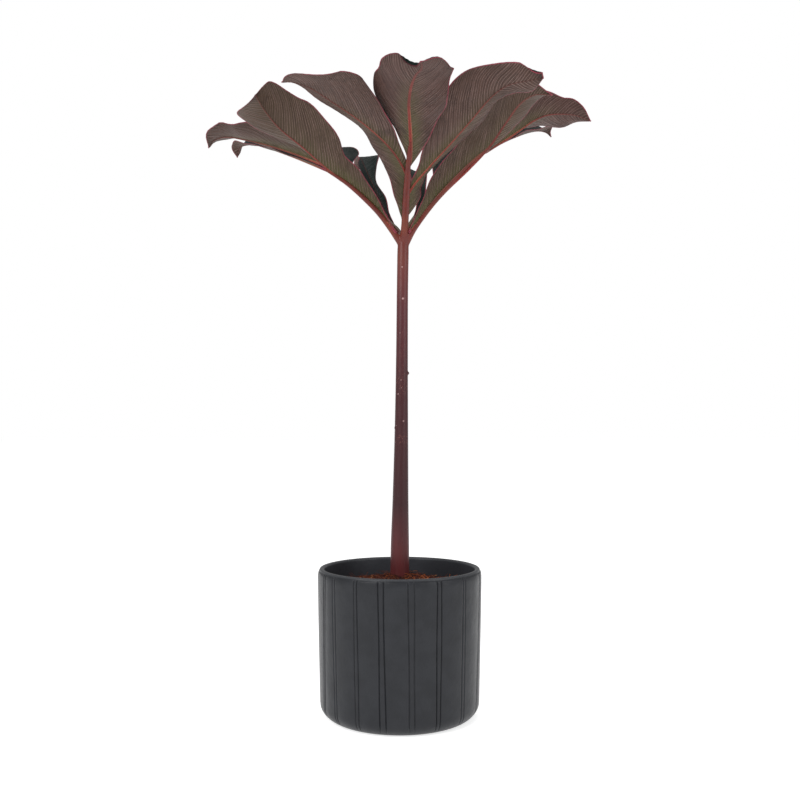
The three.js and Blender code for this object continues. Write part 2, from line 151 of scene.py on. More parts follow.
GROOVE_LEAN = 0.75
LIP_Z = 124.3
LIP_FADE = 0.9
POT_GREY = (0.0205, 0.0217, 0.0252)
# Share by which a strip's width sways, and the turn of the sway per millimetre and per fold.
STRIP_SWAY = (0.14, 0.045, 1.7)
FOOT_RINGS = (8.0, 30.0, 50.0, 55.5)
WALL_LEVELS = [0.0, 0.12, 0.4, 0.9, 1.6, 2.5, 3.6, 5.0, 6.6, 8.4, 10.2, 12.0]
WALL_LEVELS += list(np.linspace(16, 118, 30))
WALL_LEVELS += [119.5, 120.8, 121.8, 122.5, 123.0, 123.3, 123.6, 123.9, 124.2, 124.45]
# The hollow from the rim down: how far in from the inner radius, and height.
HOLLOW = ((0.0, 118), (0.05, 112), (0.0, 106), (0.0, 90), (0.0, 60), (0.6, 42), (1.5, 26), (2.3, 19),
          (3.5, 14), (6.0, 9.5), (11.0, 6.6), (16.0, 6.0), (35.0, 6.0))
# Angle under the rim, angle at the foot, half-width in degrees, and depth of each fold.
FOLDS = [
    (-168, -166, 1.3, 1.0), (-147, -145, 1.0, 0.9), (-127, -128, 1.5, 1.0),
    (-106, -104, 1.1, 0.9), (-84, -86, 1.2, 1.0), (-62, -66, 0.9, 0.7), (-50, -49, 0.9, 0.55),
    (-30.5, -29.5, 0.9, 0.75), (-12.5, -11, 1.5, 0.9), (7.5, 8.5, 1.5, 0.65),
    (27, 27, 1.2, 0.95), (48.5, 48.5, 1.0, 0.55), (74, 70.5, 1.1, 0.9), (93, 94, 1.2, 1.0),
    (113, 115, 1.0, 0.9), (134, 133, 1.4, 1.0), (153, 155, 1.1, 0.9), (173, 172, 1.3, 1.0),
]


def smooth_step(low, high, value):
    x = np.clip((value - low) / (high - low), 0.0, 1.0)
    return x * x * (3.0 - 2.0 * x)


def wall_radius(z):
    wall = POT_RADIUS - POT_TAPER * (1.0 - z / POT_HEIGHT) ** TAPER_BEND
    wall -= SHOULDER_EASE * (max(0.0, z - SHOULDER_START) / (POT_HEIGHT - SHOULDER_START)) ** 2
    if z >= POT_CORNER:
        return wall
    drop = 1.0 - z / POT_CORNER
    return wall - (wall - POT_FOOT_RADIUS) * (1.0 - math.sqrt(1.0 - drop * drop))


def fold_lift(angle, half_width):
    """How far the wall stands out at an angle from a fold's middle, before the fold's depth."""
    reach = abs(angle)
    if reach < half_width:
        return STRIP_HEIGHT * (1.0 - (reach / half_width) ** STRIP_FLATNESS)
    if reach < half_width + GROOVE_WIDTH:
        x = (reach - half_width) / GROOVE_WIDTH
        return -GROOVE_DEPTH * math.sin(math.pi * x ** GROOVE_LEAN) + PANEL_SWELL * x
    return PANEL_SWELL


def fold_stations(half_width):
    side = [half_width * f for f in (0.35, 0.65, 0.85, 1.0)]
    side += [half_width + GROOVE_WIDTH * f for f in (0.12, 0.27, 0.42, 0.58, 0.75, 0.9, 1.05, 1.6)]
    return [-a for a in reversed(side)] + [0.0] + side


def skin_of_rings(name, rings):
    """A closed skin over rings of equal length, with a fan on the first and the last ring."""
    sides = len(rings[0])
    points = [p for ring in rings for p in ring]
    faces = []
    for r in range(len(rings) - 1):
        for s in range(sides):
            a, b = r * sides + s, r * sides + (s + 1) % sides
            faces.append((a, b, b + sides, a + sides))
    for r, way in ((0, -1), (len(rings) - 1, 1)):
        middle = tuple(sum(p[k] for p in rings[r]) / sides for k in range(3))
        points.append(middle)
        for s in range(sides):
            a, b = r * sides + s, r * sides + (s + 1) % sides
            faces.append((len(points) - 1, b, a) if way < 0 else (len(points) - 1, a, b))
    return object_from(name, points, faces)


def point_attribute(thing, name, values):
    layer = thing.data.attributes.new(name, "FLOAT", "POINT")
    layer.data.foreach_set("value", [float(v) for v in values])


pot_rings = []
groove_shade_mask = []


def pot_ring(z, radius=None, height=None):
    """A ring of the wall at z, or a plain one with the columns of z at a radius and height."""
    down = 1.0 - z / POT_HEIGHT
    depth = smooth_step(*FOLDS_START, z) * (1.0 - smooth_step(*FOLDS_END, z))
    share, per_mm, per_fold = STRIP_SWAY
    ring = []
    for i, (top, foot, half_width, strength) in enumerate(FOLDS):
        angle = top + (foot - top) * down
        after = FOLDS[(i + 1) % len(FOLDS)]
        turn = 360.0 if i + 1 == len(FOLDS) else 0.0
        next_angle = after[0] + (after[1] - after[0]) * down + turn
        width = half_width * (1.0 + share * math.sin(per_mm * z + per_fold * i))
        stations = [(angle + a, fold_lift(a, width), strength) for a in fold_stations(width)]
        start = stations[-1][0]
        end = next_angle - fold_stations(after[2])[-1]
        for k in range(1, PANEL_COLUMNS):
            bow = PANEL_BOW * math.sin(math.pi * k / PANEL_COLUMNS)
            stations.append((start + (end - start) * k / PANEL_COLUMNS, PANEL_SWELL + bow, 1.0))
        for a, lift, depth_share in stations:
            if lift < PANEL_SWELL:
                lift = PANEL_SWELL + (lift - PANEL_SWELL) * depth_share
            out = wall_radius(z) + lift * depth if radius is None else radius
            turned = math.radians(a - 90.0)
            ring.append((out * MM * math.cos(turned), out * MM * math.sin(turned),
                         (z if height is None else height) * MM))
            # Each point's groove depth is kept for the painted shade in the grooves.
            groove_shade_mask.append(0.0 if radius is not None else max(0.0, -lift) * depth)
    return ring


for foot_radius in FOOT_RINGS:
    pot_rings.append(pot_ring(0.0, radius=foot_radius))
for level in WALL_LEVELS:
    pot_rings.append(pot_ring(level))
lip_radius = wall_radius(POT_HEIGHT - RIM_ROUND_OUT)
for step in range(RIM_STEPS):
    bend = math.pi / 2 * step / (RIM_STEPS - 1)
    pot_rings.append(pot_ring(RIM_COLUMNS_Z, radius=lip_radius - RIM_ROUND_OUT * (1 - math.cos(bend)),
                              height=POT_HEIGHT - RIM_ROUND_OUT * (1 - math.sin(bend))))
inner_radius = POT_RADIUS - POT_WALL
for step in range(RIM_STEPS + 1):
    bend = math.pi / 2 * step / RIM_STEPS
    pot_rings.append(pot_ring(RIM_COLUMNS_Z, radius=inner_radius + RIM_ROUND_IN * (1 - math.sin(bend)),
                              height=POT_HEIGHT - RIM_ROUND_IN * (1 - math.cos(bend))))
for step_in, level in HOLLOW:
    pot_rings.append(pot_ring(RIM_COLUMNS_Z, radius=inner_radius - step_in, height=level))
pot = skin_of_rings("pot_glazed", pot_rings)
point_attribute(pot, "painted_groove_shade", groove_shade_mask + [0.0, 0.0])
# Painted highlight: the rounded rim top is painted lighter, standing for the light caught along the rim.
painted_lip_highlight = [min(max((v.co.z / MM - LIP_Z) / LIP_FADE, 0.0), 1.0) for v in pot.data.vertices]
point_attribute(pot, "painted_lip_highlight", painted_lip_highlight)
# Painted light: the inside of the pot gets a lighter glaze colour, as if the hollow were lit more.
painted_inside_light = [math.hypot(v.co.x, v.co.y) < (inner_radius + 0.5) * MM and v.co.z > (POT_FLOOR - 0.5) * MM
          for v in pot.data.vertices]
point_attribute(pot, "painted_inside_light", painted_inside_light)


def new_node(tree, kind, values=(), **settings):
    """A node with its settings, and with its inputs given as values or as outputs to link."""
    node = tree.nodes.new(kind)
    for key, value in settings.items():
        setattr(node, key, value)
    for socket, value in dict(values).items():
        if isinstance(value, bpy.types.NodeSocket):
            tree.links.new(value, node.inputs[socket])
        else:
            node.inputs[socket].default_value = value
    return node


def mottle_group():
    """Slow change of tone and fine grain over a surface, used by most finishes here."""
    group = bpy.data.node_groups.new("surface_mottle", "ShaderNodeTree")
    face = group.interface
    for label, value in (("Patch Size", 20.0), ("Grain Size", 1.0), ("Stretch", 1.0)):
        socket = face.new_socket(label, in_out="INPUT", socket_type="NodeSocketFloat")
        socket.default_value = value
    for label in ("Patches", "Grain"):
        face.new_socket(label, in_out="OUTPUT", socket_type="NodeSocketFloat")
    entry = group.nodes.new("NodeGroupInput")
    leave = group.nodes.new("NodeGroupOutput")
    place = group.nodes.new("ShaderNodeTexCoord")
    combine = new_node(group, "ShaderNodeCombineXYZ", {0: 1.0, 1: 1.0, 2: entry.outputs["Stretch"]})
    squeeze = new_node(group, "ShaderNodeVectorMath", {0: place.outputs["Object"], 1: combine.outputs[0]},
                       operation="MULTIPLY")
    for label, out, detail in (("Patch Size", "Patches", 3.0), ("Grain Size", "Grain", 2.0)):
        per_metre = new_node(group, "ShaderNodeMath", {0: 1.0 / MM, 1: entry.outputs[label]},
                             operation="DIVIDE")
        speckle = new_node(group, "ShaderNodeTexNoise", {
            "Vector": squeeze.outputs[0], "Scale": per_metre.outputs[0], "Detail": detail})
        group.links.new(speckle.outputs["Fac"], leave.inputs[out])
    return group


MOTTLE = mottle_group()


class Finish:
    """A material under construction: shader, node maker and the usual small node chains."""

    def __init__(self, name, roughness=0.5):
        self.material = plain_material(name, (0.5, 0.5, 0.5), roughness)
        self.tree = self.material.node_tree
        self.shader = self.tree.nodes["Principled BSDF"]

    def set(self, socket, value):
        self.shader.inputs[socket].default_value = value

    def feed(self, output, socket):
        self.tree.links.new(output, self.shader.inputs[socket])

    def add(self, kind, values=(), **settings):
        return new_node(self.tree, kind, values, **settings)

    def mottle(self, patch, grain, stretch=1.0):
        node = self.add("ShaderNodeGroup", node_tree=MOTTLE)
        for label, value in (("Patch Size", patch), ("Grain Size", grain), ("Stretch", stretch)):
            node.inputs[label].default_value = value
        return node.outputs["Patches"], node.outputs["Grain"]

    def attribute(self, name):
        return self.add("ShaderNodeAttribute", attribute_name=name).outputs["Fac"]

    def place(self):
        return self.add("ShaderNodeTexCoord").outputs["Object"]

    def height(self):
        return self.add("ShaderNodeSeparateXYZ", {0: self.place()}).outputs["Z"]

    def math(self, operation, *values, clamp=False):
        return self.add("ShaderNodeMath", enumerate(values), operation=operation, use_clamp=clamp).outputs[0]

    def times(self, a, b):
        return self.math("MULTIPLY", a, b)

    def between(self, value, low, high, out_low=0.0, out_high=1.0):
        return self.add("ShaderNodeMapRange", {
            "Value": value, "From Min": low, "From Max": high, "To Min": out_low, "To Max": out_high,
        }, interpolation_type="SMOOTHSTEP").outputs[0]

    def mix(self, share, a, b):
        a, b = [(*v, 1.0) if isinstance(v, tuple) else v for v in (a, b)]
        return self.add("ShaderNodeMix", {0: share, 6: a, 7: b}, data_type="RGBA").outputs[2]

    def layers(self, tone, stack):
        """Colours laid over a tone, each through its mask at a share of full strength."""
        for mask, share, colour in stack:
            tone = self.mix(self.times(mask, share), tone, colour)
        return tone

    def ramp(self, value, stops):
        node = self.add("ShaderNodeValToRGB", {0: value})
        stop_list = node.color_ramp.elements
        while len(stop_list) < len(stops):
            stop_list.new(0.5)
        for element, (place, colour) in zip(stop_list, stops):
            element.position = place
            element.color = (*colour, 1.0)
        return node.outputs[0]

    def noise(self, scale, detail=2.0, roughness=0.5, vector=None):
        return self.add("ShaderNodeTexNoise", {
            "Vector": self.place() if vector is None else vector,
            "Scale": scale, "Detail": detail, "Roughness": roughness,
        }).outputs["Fac"]

    def point(self, *values):
        return self.add("ShaderNodeCombineXYZ", enumerate(values)).outputs[0]

    def relief(self, layers):
        """Bumps from (height, distance in metres) pairs, fed one after another to the normal."""
        below = {}
        for value, distance in layers:
            node = self.add("ShaderNodeBump", {"Distance": distance, "Height": value, **below})
            below = {"Normal": node.outputs[0]}
        self.feed(below["Normal"], "Normal")


glaze = Finish("satin_grey_glaze")
patches, grain = glaze.mottle(14.0, 0.7)
# The third tone is painted light for the inside of the pot.
light, dark, painted_inside_tone = [tuple(c * share for c in POT_GREY) for share in (1.12, 0.9, 1.75)]
colour = glaze.mix(glaze.between(patches, 0.3, 0.7), dark, light)
# Over the mottle: painted light inside the pot and a painted highlight on the rim top.
colour = glaze.layers(colour, [(glaze.attribute("painted_inside_light"), 1.0, painted_inside_tone),
                               (glaze.attribute("painted_lip_highlight"), 0.7, (0.060, 0.062, 0.068))])
# Painted shade: the glaze is darkened in the grooves, more where they are deeper.
painted_groove_shade = glaze.math("MULTIPLY", glaze.attribute("painted_groove_shade"), 0.45, clamp=True)
colour = glaze.mix(painted_groove_shade, colour, (0.008, 0.0085, 0.010))
glaze.feed(colour, "Base Color")
glaze.feed(glaze.between(grain, 0.3, 0.7, 0.30, 0.42), "Roughness")
glaze.set("Specular IOR Level", 0.19)
glaze.relief([(patches, 0.0006), (grain, 0.00006)])
pot.data.materials.append(glaze.material)
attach(pot, "root")
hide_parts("pot")

# Tuber: the flattened brown globe under the soil that the leaf grows from. Its skin is dull,
# with faint rings of old leaf scars.
TUBER_RADIUS = 27.0
TUBER_HALF_HEIGHT = 17.0
TUBER_Z = 62.0
TUBER_BANDS = 28
TUBER_SIDES = 56
TUBER_ROUGH = 1.0
TUBER_ROOM = 0.3
SCAR_RINGS = 9.0


def globe_rings(radius, half_height, middle, bands, sides, rough=0.0):
    rings = []
    for i in range(1, bands):
        angle = -math.pi / 2 + math.pi * i / bands
        ring = []
        for s in range(sides):
            turn = 2 * math.pi * s / sides
            spot = Vector((math.cos(turn) * 2, math.sin(turn) * 2, i * 0.25))
            out = radius * math.cos(angle) + rough * noise.noise(spot) * math.cos(angle)
            out += rough * 0.4 * math.cos(angle) * math.sin(SCAR_RINGS * angle)
            ring.append((out * MM * math.cos(turn), out * MM * math.sin(turn),
                         (middle + half_height * math.sin(angle)) * MM))
        rings.append(ring)
    return rings


tuber = skin_of_rings("tuber_skin", globe_rings(TUBER_RADIUS - 0.9, TUBER_HALF_HEIGHT - 0.8, TUBER_Z,
                                                TUBER_BANDS, TUBER_SIDES, TUBER_ROUGH))
skin = Finish("tuber_skin", 0.8)
patches, grain = skin.mottle(5.0, 0.6)
skin.feed(skin.mix(skin.between(patches, 0.3, 0.7), (0.10, 0.05, 0.028), (0.22, 0.13, 0.075)), "Base Color")
skin.relief([(patches, 0.0008), (grain, 0.0002)])
tuber.data.materials.append(skin.material)
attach(tuber, "root")
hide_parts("tuber")

# Soil: coir and crumbs filled to below the rim and mounded round the stalk. Its body is one
# solid with a hole for the stalk and a hollow for the tuber. Loose fibres and lumps lie on it.
SOIL_EDGE_Z = 109.0
SOIL_MOUND = 10.0
SOIL_HEAP = 3.0
SOIL_SIDES = 132
SOIL_GAP = 0.45
STALK_HOLE = 8.6
HOLE_BANDS = 20
HOLE_SIDES = 40
HOLE_LEVELS = (90.0, 105.0, 135.0)
COIR_DARK = (0.016, 0.006, 0.005)
COIR_RED = (0.100, 0.025, 0.011)
COIR_ORANGE = (0.17, 0.046, 0.016)
# Size, strength and place in the noise of the lumps.
SOIL_LUMPS = ((0.22, 1.3, 3.0), (0.6, 0.9, 7.0), (1.5, 0.45, 11.0))
# How far in from the soil's reach, and height, of the rings below its top.
SOIL_SIDE = ((14.05, POT_FLOOR + 0.4), (9.0, 9.0), (3.6, 14.0), (1.6, 26.0), (0.0, 61.0), (0.0, 100.0))
SOIL_TOP_RINGS = 62
soil_reach = POT_RADIUS - POT_WALL - SOIL_GAP


def apply_modifiers(thing):
    """Puts a plain mesh with the modifiers applied in the place of the thing's mesh."""
    mesh = bpy.data.meshes.new_from_object(thing.evaluated_get(bpy.context.evaluated_depsgraph_get()))
    thing.modifiers.clear()
    thing.data = mesh
    return mesh


def soil_height(x, y):
    r = min(math.hypot(x, y) / (POT_RADIUS - POT_WALL), 1.0)
    mound = SOIL_MOUND * (1.0 - r) ** 1.3 + SOIL_HEAP * math.exp(-(r / 0.3) ** 2)
    dips = 1.2 * math.sin(0.31 * x + 1.3) * math.cos(0.27 * y - 0.6)
    crumbs = 0.8 * math.sin(0.7 * x - 0.5 * y)
    lumps = sum(strength * noise.noise(Vector((x * size, y * size, place)))
                for size, strength, place in SOIL_LUMPS)
    return SOIL_EDGE_Z + mound + (dips + crumbs) * 0.8 + lumps * 0.9


def soil_ring(radius, level=None):
    ring = []
    for s in range(SOIL_SIDES):
        turn = 2 * math.pi * s / SOIL_SIDES
        x, y = radius * math.cos(turn), radius * math.sin(turn)
        ring.append((x * MM, y * MM, (soil_height(x, y) if level is None else level) * MM))
    return ring


soil_rings = [soil_ring(soil_reach - inset, level) for inset, level in SOIL_SIDE]
soil_rings += [soil_ring(r) for r in np.linspace(soil_reach, 3.0, SOIL_TOP_RINGS)]
soil = skin_of_rings("soil_coir", soil_rings)

hole = globe_rings(TUBER_RADIUS + TUBER_ROOM, TUBER_HALF_HEIGHT + TUBER_ROOM, TUBER_Z,
                   HOLE_BANDS, HOLE_SIDES)
hole = [ring for ring in hole if max(p[0] for p in ring) > STALK_HOLE * MM or ring[0][2] < TUBER_Z * MM]
hole_turns = [2 * math.pi * s / HOLE_SIDES for s in range(HOLE_SIDES)]
for level in HOLE_LEVELS:
    hole.append([(STALK_HOLE * MM * math.cos(a), STALK_HOLE * MM * math.sin(a), level * MM)
                 for a in hole_turns])
cutter = skin_of_rings("soil_hollow", hole)
cut = soil.modifiers.new("hollow", "BOOLEAN")
cut.operation = "DIFFERENCE"
cut.solver = "EXACT"
cut.object = cutter
apply_modifiers(soil)
bpy.data.objects.remove(cutter)

earth = Finish("coir_earth", 0.95)
patches, grain = earth.mottle(2.2, 0.5)
earth_tone = earth.math("ADD", earth.times(patches, 0.6), earth.times(grain, 0.4))
earth.feed(earth.ramp(earth_tone, [(0.42, COIR_DARK), (0.54, COIR_RED), (0.68, COIR_ORANGE)]), "Base Color")
earth.set("Specular IOR Level", 0.2)
earth.relief([(patches, 0.0016), (grain, 0.0007)])
soil.data.materials.append(earth.material)
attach(soil, "root")
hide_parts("soil")

# Loose coir: curled fibres and small crumbs strewn over the soil's top. Each is one of a few
# shapes, turned and scaled at random with a fixed seed.

# Metres from the stalk's middle and above the floor, and sizes of the shapes.
STALK_CLEARANCE = 0.0092
LOWEST_TOP = 0.104
FIBRE_RADIUS = 0.17 * MM
CRUMB_WOBBLE = 1.5 * MM
strand = Finish("coir_strand", 0.8)
tint = strand.attribute("tint")
strand.feed(strand.ramp(tint, [(0.0, (0.030, 0.008, 0.006)), (0.5, (0.080, 0.018, 0.011)),
                               (0.8, (0.13, 0.032, 0.014)), (0.94, (0.48, 0.120, 0.028)),
                               (1.0, (0.60, 0.30, 0.12))]), "Base Color")
strand.set("Specular IOR Level", 0.25)
crumb = Finish("coir_crumb", 0.95)
tint = crumb.attribute("tint")
crumb.feed(crumb.ramp(tint, [(0.0, COIR_DARK), (0.6, COIR_RED), (1.0, COIR_ORANGE)]), "Base Color")
crumb.set("Specular IOR Level", 0.15)


class Tree:
    """A Geometry Nodes tree under construction, with named inputs."""

    def __init__(self, name, inputs):
        self.group = bpy.data.node_groups.new(name, "GeometryNodeTree")
        face = self.group.interface
        face.new_socket("Geometry", in_out="INPUT", socket_type="NodeSocketGeometry")
        self.keys = {}
        for label, kind, value in inputs:
            socket = face.new_socket(label, in_out="INPUT", socket_type=kind)
            socket.default_value = value
            self.keys[label] = socket.identifier
        face.new_socket("Geometry", in_out="OUTPUT", socket_type="NodeSocketGeometry")
        self.entry = self.group.nodes.new("NodeGroupInput").outputs
        self.leave = self.group.nodes.new("NodeGroupOutput")

    def add(self, kind, values=(), **settings):
        return new_node(self.group, kind, values, **settings)

    def compare(self, operation, value, limit):
        return self.add("FunctionNodeCompare", {0: value, 1: limit}, data_type="FLOAT",
                        operation=operation).outputs[0]

    def both(self, a, b):
        return self.add("FunctionNodeBooleanMath", {0: a, 1: b}, operation="AND").outputs[0]

    def random(self, kind, low, high, extra):
        """A random value of a kind, FLOAT, INT or FLOAT_VECTOR, with its own shift of the seed."""
        first, second, out = {"FLOAT": (2, 3, 1), "INT": (4, 5, 2), "FLOAT_VECTOR": (0, 1, 0)}[kind]
        shift = self.add("ShaderNodeMath", {0: self.entry["Seed"], 1: extra}, operation="ADD")
        return self.add("FunctionNodeRandomValue", {first: low, second: high, "Seed": shift.outputs[0]},
                        data_type=kind).outputs[out]

    def finish(self, geometry, material):
        real = self.add("GeometryNodeRealizeInstances", {0: geometry})
        paint = self.add("GeometryNodeSetMaterial", {"Geometry": real.outputs[0], "Material": material})
        self.group.links.new(paint.outputs[0], self.leave.inputs[0])


def scatter_tree(name, shapes, material, upright):
    """Points on the soil's top, each carrying one of the shapes, turned, scaled and tinted."""
    tree = Tree(name, [("Density", "NodeSocketFloat", 1.0), ("Smallest", "NodeSocketFloat", 0.6),
                       ("Largest", "NodeSocketFloat", 1.2), ("Reach", "NodeSocketFloat", 0.056),
                       ("Seed", "NodeSocketInt", 1)])
    entry = tree.entry
    spot = tree.add("GeometryNodeInputPosition").outputs[0]
    level = tree.add("ShaderNodeVectorMath", {0: spot, 1: (1.0, 1.0, 0.0)}, operation="MULTIPLY").outputs[0]
    away = tree.add("ShaderNodeVectorMath", {0: level}, operation="LENGTH").outputs["Value"]
    rise = tree.add("ShaderNodeSeparateXYZ", {0: spot}).outputs["Z"]
    ring = tree.both(tree.compare("LESS_THAN", away, entry["Reach"]),
                     tree.compare("GREATER_THAN", away, STALK_CLEARANCE))
    pick = tree.both(ring, tree.compare("GREATER_THAN", rise, LOWEST_TOP))
    points = tree.add("GeometryNodeDistributePointsOnFaces", {
        "Mesh": entry["Geometry"], "Selection": pick, "Density": entry["Density"], "Seed": entry["Seed"],
    }, distribute_method="RANDOM")
    kinds = tree.add("GeometryNodeGeometryToInstance")
    for shape in reversed(shapes(tree)):
        tree.group.links.new(shape, kinds.inputs[0])
    tilt = (upright, upright, math.pi)
    place = tree.add("GeometryNodeInstanceOnPoints", {
        "Pick Instance": True, "Points": points.outputs["Points"], "Instance": kinds.outputs[0],
        "Instance Index": tree.random("INT", 0, 9, 11),
        "Rotation": tree.random("FLOAT_VECTOR", tuple(-a for a in tilt), tilt, 23),
        "Scale": tree.random("FLOAT", entry["Smallest"], entry["Largest"], 37)})
    note = tree.add("GeometryNodeStoreNamedAttribute", data_type="FLOAT", domain="INSTANCE")
    note.inputs["Name"].default_value = "tint"
    tree.group.links.new(place.outputs[0], note.inputs["Geometry"])
    tree.group.links.new(tree.random("FLOAT", 0.0, 1.0, 53), note.inputs["Value"])
    tree.finish(note.outputs[0], material)
    return tree


def fibre_shapes(tree):
    """Three bent strands, each a four-sided tube on a short curve that bows up off the soil."""
    shapes = []
    bends = [((-7, 0, -0.5), (-3, 3.5, 2.5), (3, -3, 0.2), (7, 1, 1.5)),
             ((-5, -1, -1.0), (-2, -2, 3.5), (2, 2.5, 2.0), (4.5, 2, -0.5)),
             ((-8, 0, 0.0), (-3, -1.5, 1.0), (2, -2.5, 2.2), (8, -0.5, 3.2))]
    for bend in bends:
        values = {"Resolution": 7}
        for key, value in zip(("Start", "Start Handle", "End Handle", "End"), bend):
            values[key] = tuple(v * MM for v in value)
        curve = tree.add("GeometryNodeCurvePrimitiveBezierSegment", values, mode="POSITION")
        ring = tree.add("GeometryNodeCurvePrimitiveCircle", {"Resolution": 4, "Radius": FIBRE_RADIUS})
        tube = tree.add("GeometryNodeCurveToMesh", {
            "Fill Caps": True, "Curve": curve.outputs[0], "Profile Curve": ring.outputs[0]})
        shapes.append(tube.outputs[0])
    return shapes


def crumb_shapes(tree):
    """Three flattened lumps, uneven by a fixed noise."""
    shapes = []
    for size, seed in (((1.1, 0.8, 0.6), 1.0), ((0.8, 0.7, 0.7), 5.0), ((1.5, 0.5, 0.35), 9.0)):
        ball = tree.add("GeometryNodeMeshIcoSphere", {"Radius": 1.0 * MM, "Subdivisions": 2})
        wobble = tree.add("ShaderNodeTexNoise", noise_dimensions="4D")
        wobble.inputs["W"].default_value = seed
        wobble.inputs["Scale"].default_value = 1100.0
        middle = tree.add("ShaderNodeVectorMath", {0: wobble.outputs["Color"], 1: (0.5, 0.5, 0.5)},
                          operation="SUBTRACT")
        small = tree.add("ShaderNodeVectorMath", {0: middle.outputs[0], "Scale": CRUMB_WOBBLE},
                         operation="SCALE")
        shake = tree.add("GeometryNodeSetPosition", {
            "Geometry": ball.outputs["Mesh"], "Offset": small.outputs[0]})
        press = tree.add("GeometryNodeTransform", {"Scale": size, "Geometry": shake.outputs[0]})
        shapes.append(press.outputs[0])
    return shapes


def scattered(name, shapes, material, upright, values):
    """The scatter grown on a copy of the soil and kept as a plain mesh."""
    tree = scatter_tree(name, shapes, material, upright)
    thing = bpy.data.objects.new(name, soil.data.copy())
    bpy.context.scene.collection.objects.link(thing)
    grow = thing.modifiers.new("scatter", "NODES")
    grow.node_group = tree.group
    for label, value in values.items():
        grow[tree.keys[label]] = value
    apply_modifiers(thing)
    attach(thing, "root")


scattered("coir_fibres", fibre_shapes, strand.material, 0.55,
          {"Density": 90000.0, "Smallest": 0.4, "Largest": 1.0, "Reach": 0.0545, "Seed": 4})
scattered("coir_crumbs", crumb_shapes, crumb.material, 1.2,
          {"Density": 110000.0, "Smallest": 0.5, "Largest": 1.3, "Reach": 0.0615, "Seed": 9})

# Stalk: the leaf's one upright petiole with, at its top, three arms, two short back arms and four
# short feet for the leaflets behind the side arms, all grown as one. Its satin skin is brick red
# near the fork, purple-brown lower down and redder at the soil, with small pale corky spots, a few
# knobs and scarred zones.
STALK_PATH = [(0.2, 0, 77), (0.2, 0, 136), (0.8, 0, 185), (1.5, 0, 240), (2, 0, 300), (2.4, 0, 360),
              (3, 0, 400), (3.4, 0, 411)]
STALK_RADII = [8.2, 8.1, 6.9, 5.9, 5.2, 4.9, 4.9, 4.2]
STALK_STEPS = 90
STALK_SIDES = 40
ARM_STEPS = 40
ARM_SIDES = 24
SIDE_ARM_RADII = [3.6, 2.7, 2.3, 1.9, 1.3]
BACK_ARM_RADII = [3.2, 2.7, 2.1, 1.3]
FOOT_RADII = [1.8, 1.6, 1.4, 1.1]
ARMS = {
    "front": ([(3.4, 0, 404), (4.6, -8, 421), (5.4, -25, 436.5), (6.2, -38, 447), (7, -53, 459),
               (8.2, -66, 469)], [3.9, 3.2, 3.0, 2.7, 2.1, 1.4]),
    "left": ([(2.6, 0, 404), (-8.5, -2, 419), (-20.8, -6, 433.4), (-42.3, -13, 451.7), (-62, -21, 463)],
             SIDE_ARM_RADII),
    "right": ([(4.2, 0, 404), (13.6, -3, 419.3), (30.6, -8, 440.4), (55.2, -17, 464.6), (75, -28, 479.5)],
              SIDE_ARM_RADII),
    "back_left": ([(3, 0, 405), (-1.5, 6, 417), (-10, 15, 428), (-18, 26, 442)], BACK_ARM_RADII),
    "back_right": ([(4, 0, 405), (6, 6, 417), (12, 14, 429), (19, 25, 443)], BACK_ARM_RADII),
    "left_middle_foot": ([(-49, -15.4, 455.9), (-53.5, -15.8, 461), (-57, -16, 466), (-60, -15.2, 467.6)],
                         FOOT_RADII),
    "left_back_foot": ([(-49, -15.4, 455.9), (-55, -14, 461), (-60, -12, 465.2), (-62.6, -9.3, 467)],
                       FOOT_RADII),
    "right_middle_foot": ([(61, -20.2, 469.3), (68.5, -20.3, 475.3), (75, -19, 481), (77.8, -18, 483)],
                          FOOT_RADII),
    "right_back_foot": ([(61, -20.2, 469.3), (67.5, -17, 475.5), (73, -13, 480.8), (74.8, -10.2, 482.8)],
                        FOOT_RADII),
}
SKIN_GRAIN = 0.62 * MM
EVEN_PASSES = 4
FORK_Z = 413.0
FORK_REACH = 15.0
FORK_PASSES = 22
ARMS_MEET = (3.4, 0.0, 411.0)
# Pale spots that face the front: place across, height and size in millimetres.
FRONT_SPOTS = [
    (2.1, 384.2, 1.0), (2.9, 357.1, 1.3), (0.3, 327.6, 0.9), (-0.5, 314.7, 0.6), (-2.2, 305.7, 0.8),
    (1.2, 287.2, 0.7), (4.6, 282.1, 0.8), (1.6, 280.4, 0.6), (-1.4, 275.2, 1.0), (5.9, 257.2, 0.8),
    (3.3, 252.0, 1.2), (-3.1, 248.2, 0.9), (-0.5, 187.7, 0.9), (-4.8, 135.4, 1.1),
]
FRONT_SPOT_RADIUS_SQUARED = 30.0
SPOT_SEED = 12
SIDE_SPOTS = 34
SIDE_SPOT_HEIGHTS = (128.0, 395.0)
SIDE_SPOT_TURNS = (-20.0, 200.0)
SIDE_SPOT_SIZES = (0.5, 1.2)
SIDE_SPOT_REACH = 6.0
SPOT_DEPTH_SHARE = 0.55
# Height, spread and strength of the scarred zones, which are weaker at the back.
SCAR_ZONES = [(236.5, 4.0, 1.0), (284.0, 9.0, 0.8), (305.0, 40.0, 0.45)]
SCAR_FRONT_Y = 1.0
SCAR_BACK_SHARE = 0.4
WING_START = 412.0
WING_FADE = 9.0
# Place from 0.1 m to 0.5 m of height, and colour of the skin there.
STALK_TONES = [
    (0.0, (0.100, 0.020, 0.020)), (0.1, (0.112, 0.024, 0.025)), (0.2, (0.038, 0.011, 0.013)),
    (0.45, (0.052, 0.015, 0.017)), (0.62, (0.088, 0.024, 0.027)), (0.73, (0.143, 0.041, 0.033)),
    (0.80, (0.124, 0.018, 0.012)), (1.0, (0.106, 0.017, 0.012))]
TONES_START = 0.1
TONES_LENGTH = 0.4
KNOBS = [((7.5, -0.5, 293.4), 1.1), ((-3.9, -1.5, 246.0), 0.9), ((4.4, 3.9, 330.0), 0.8)]


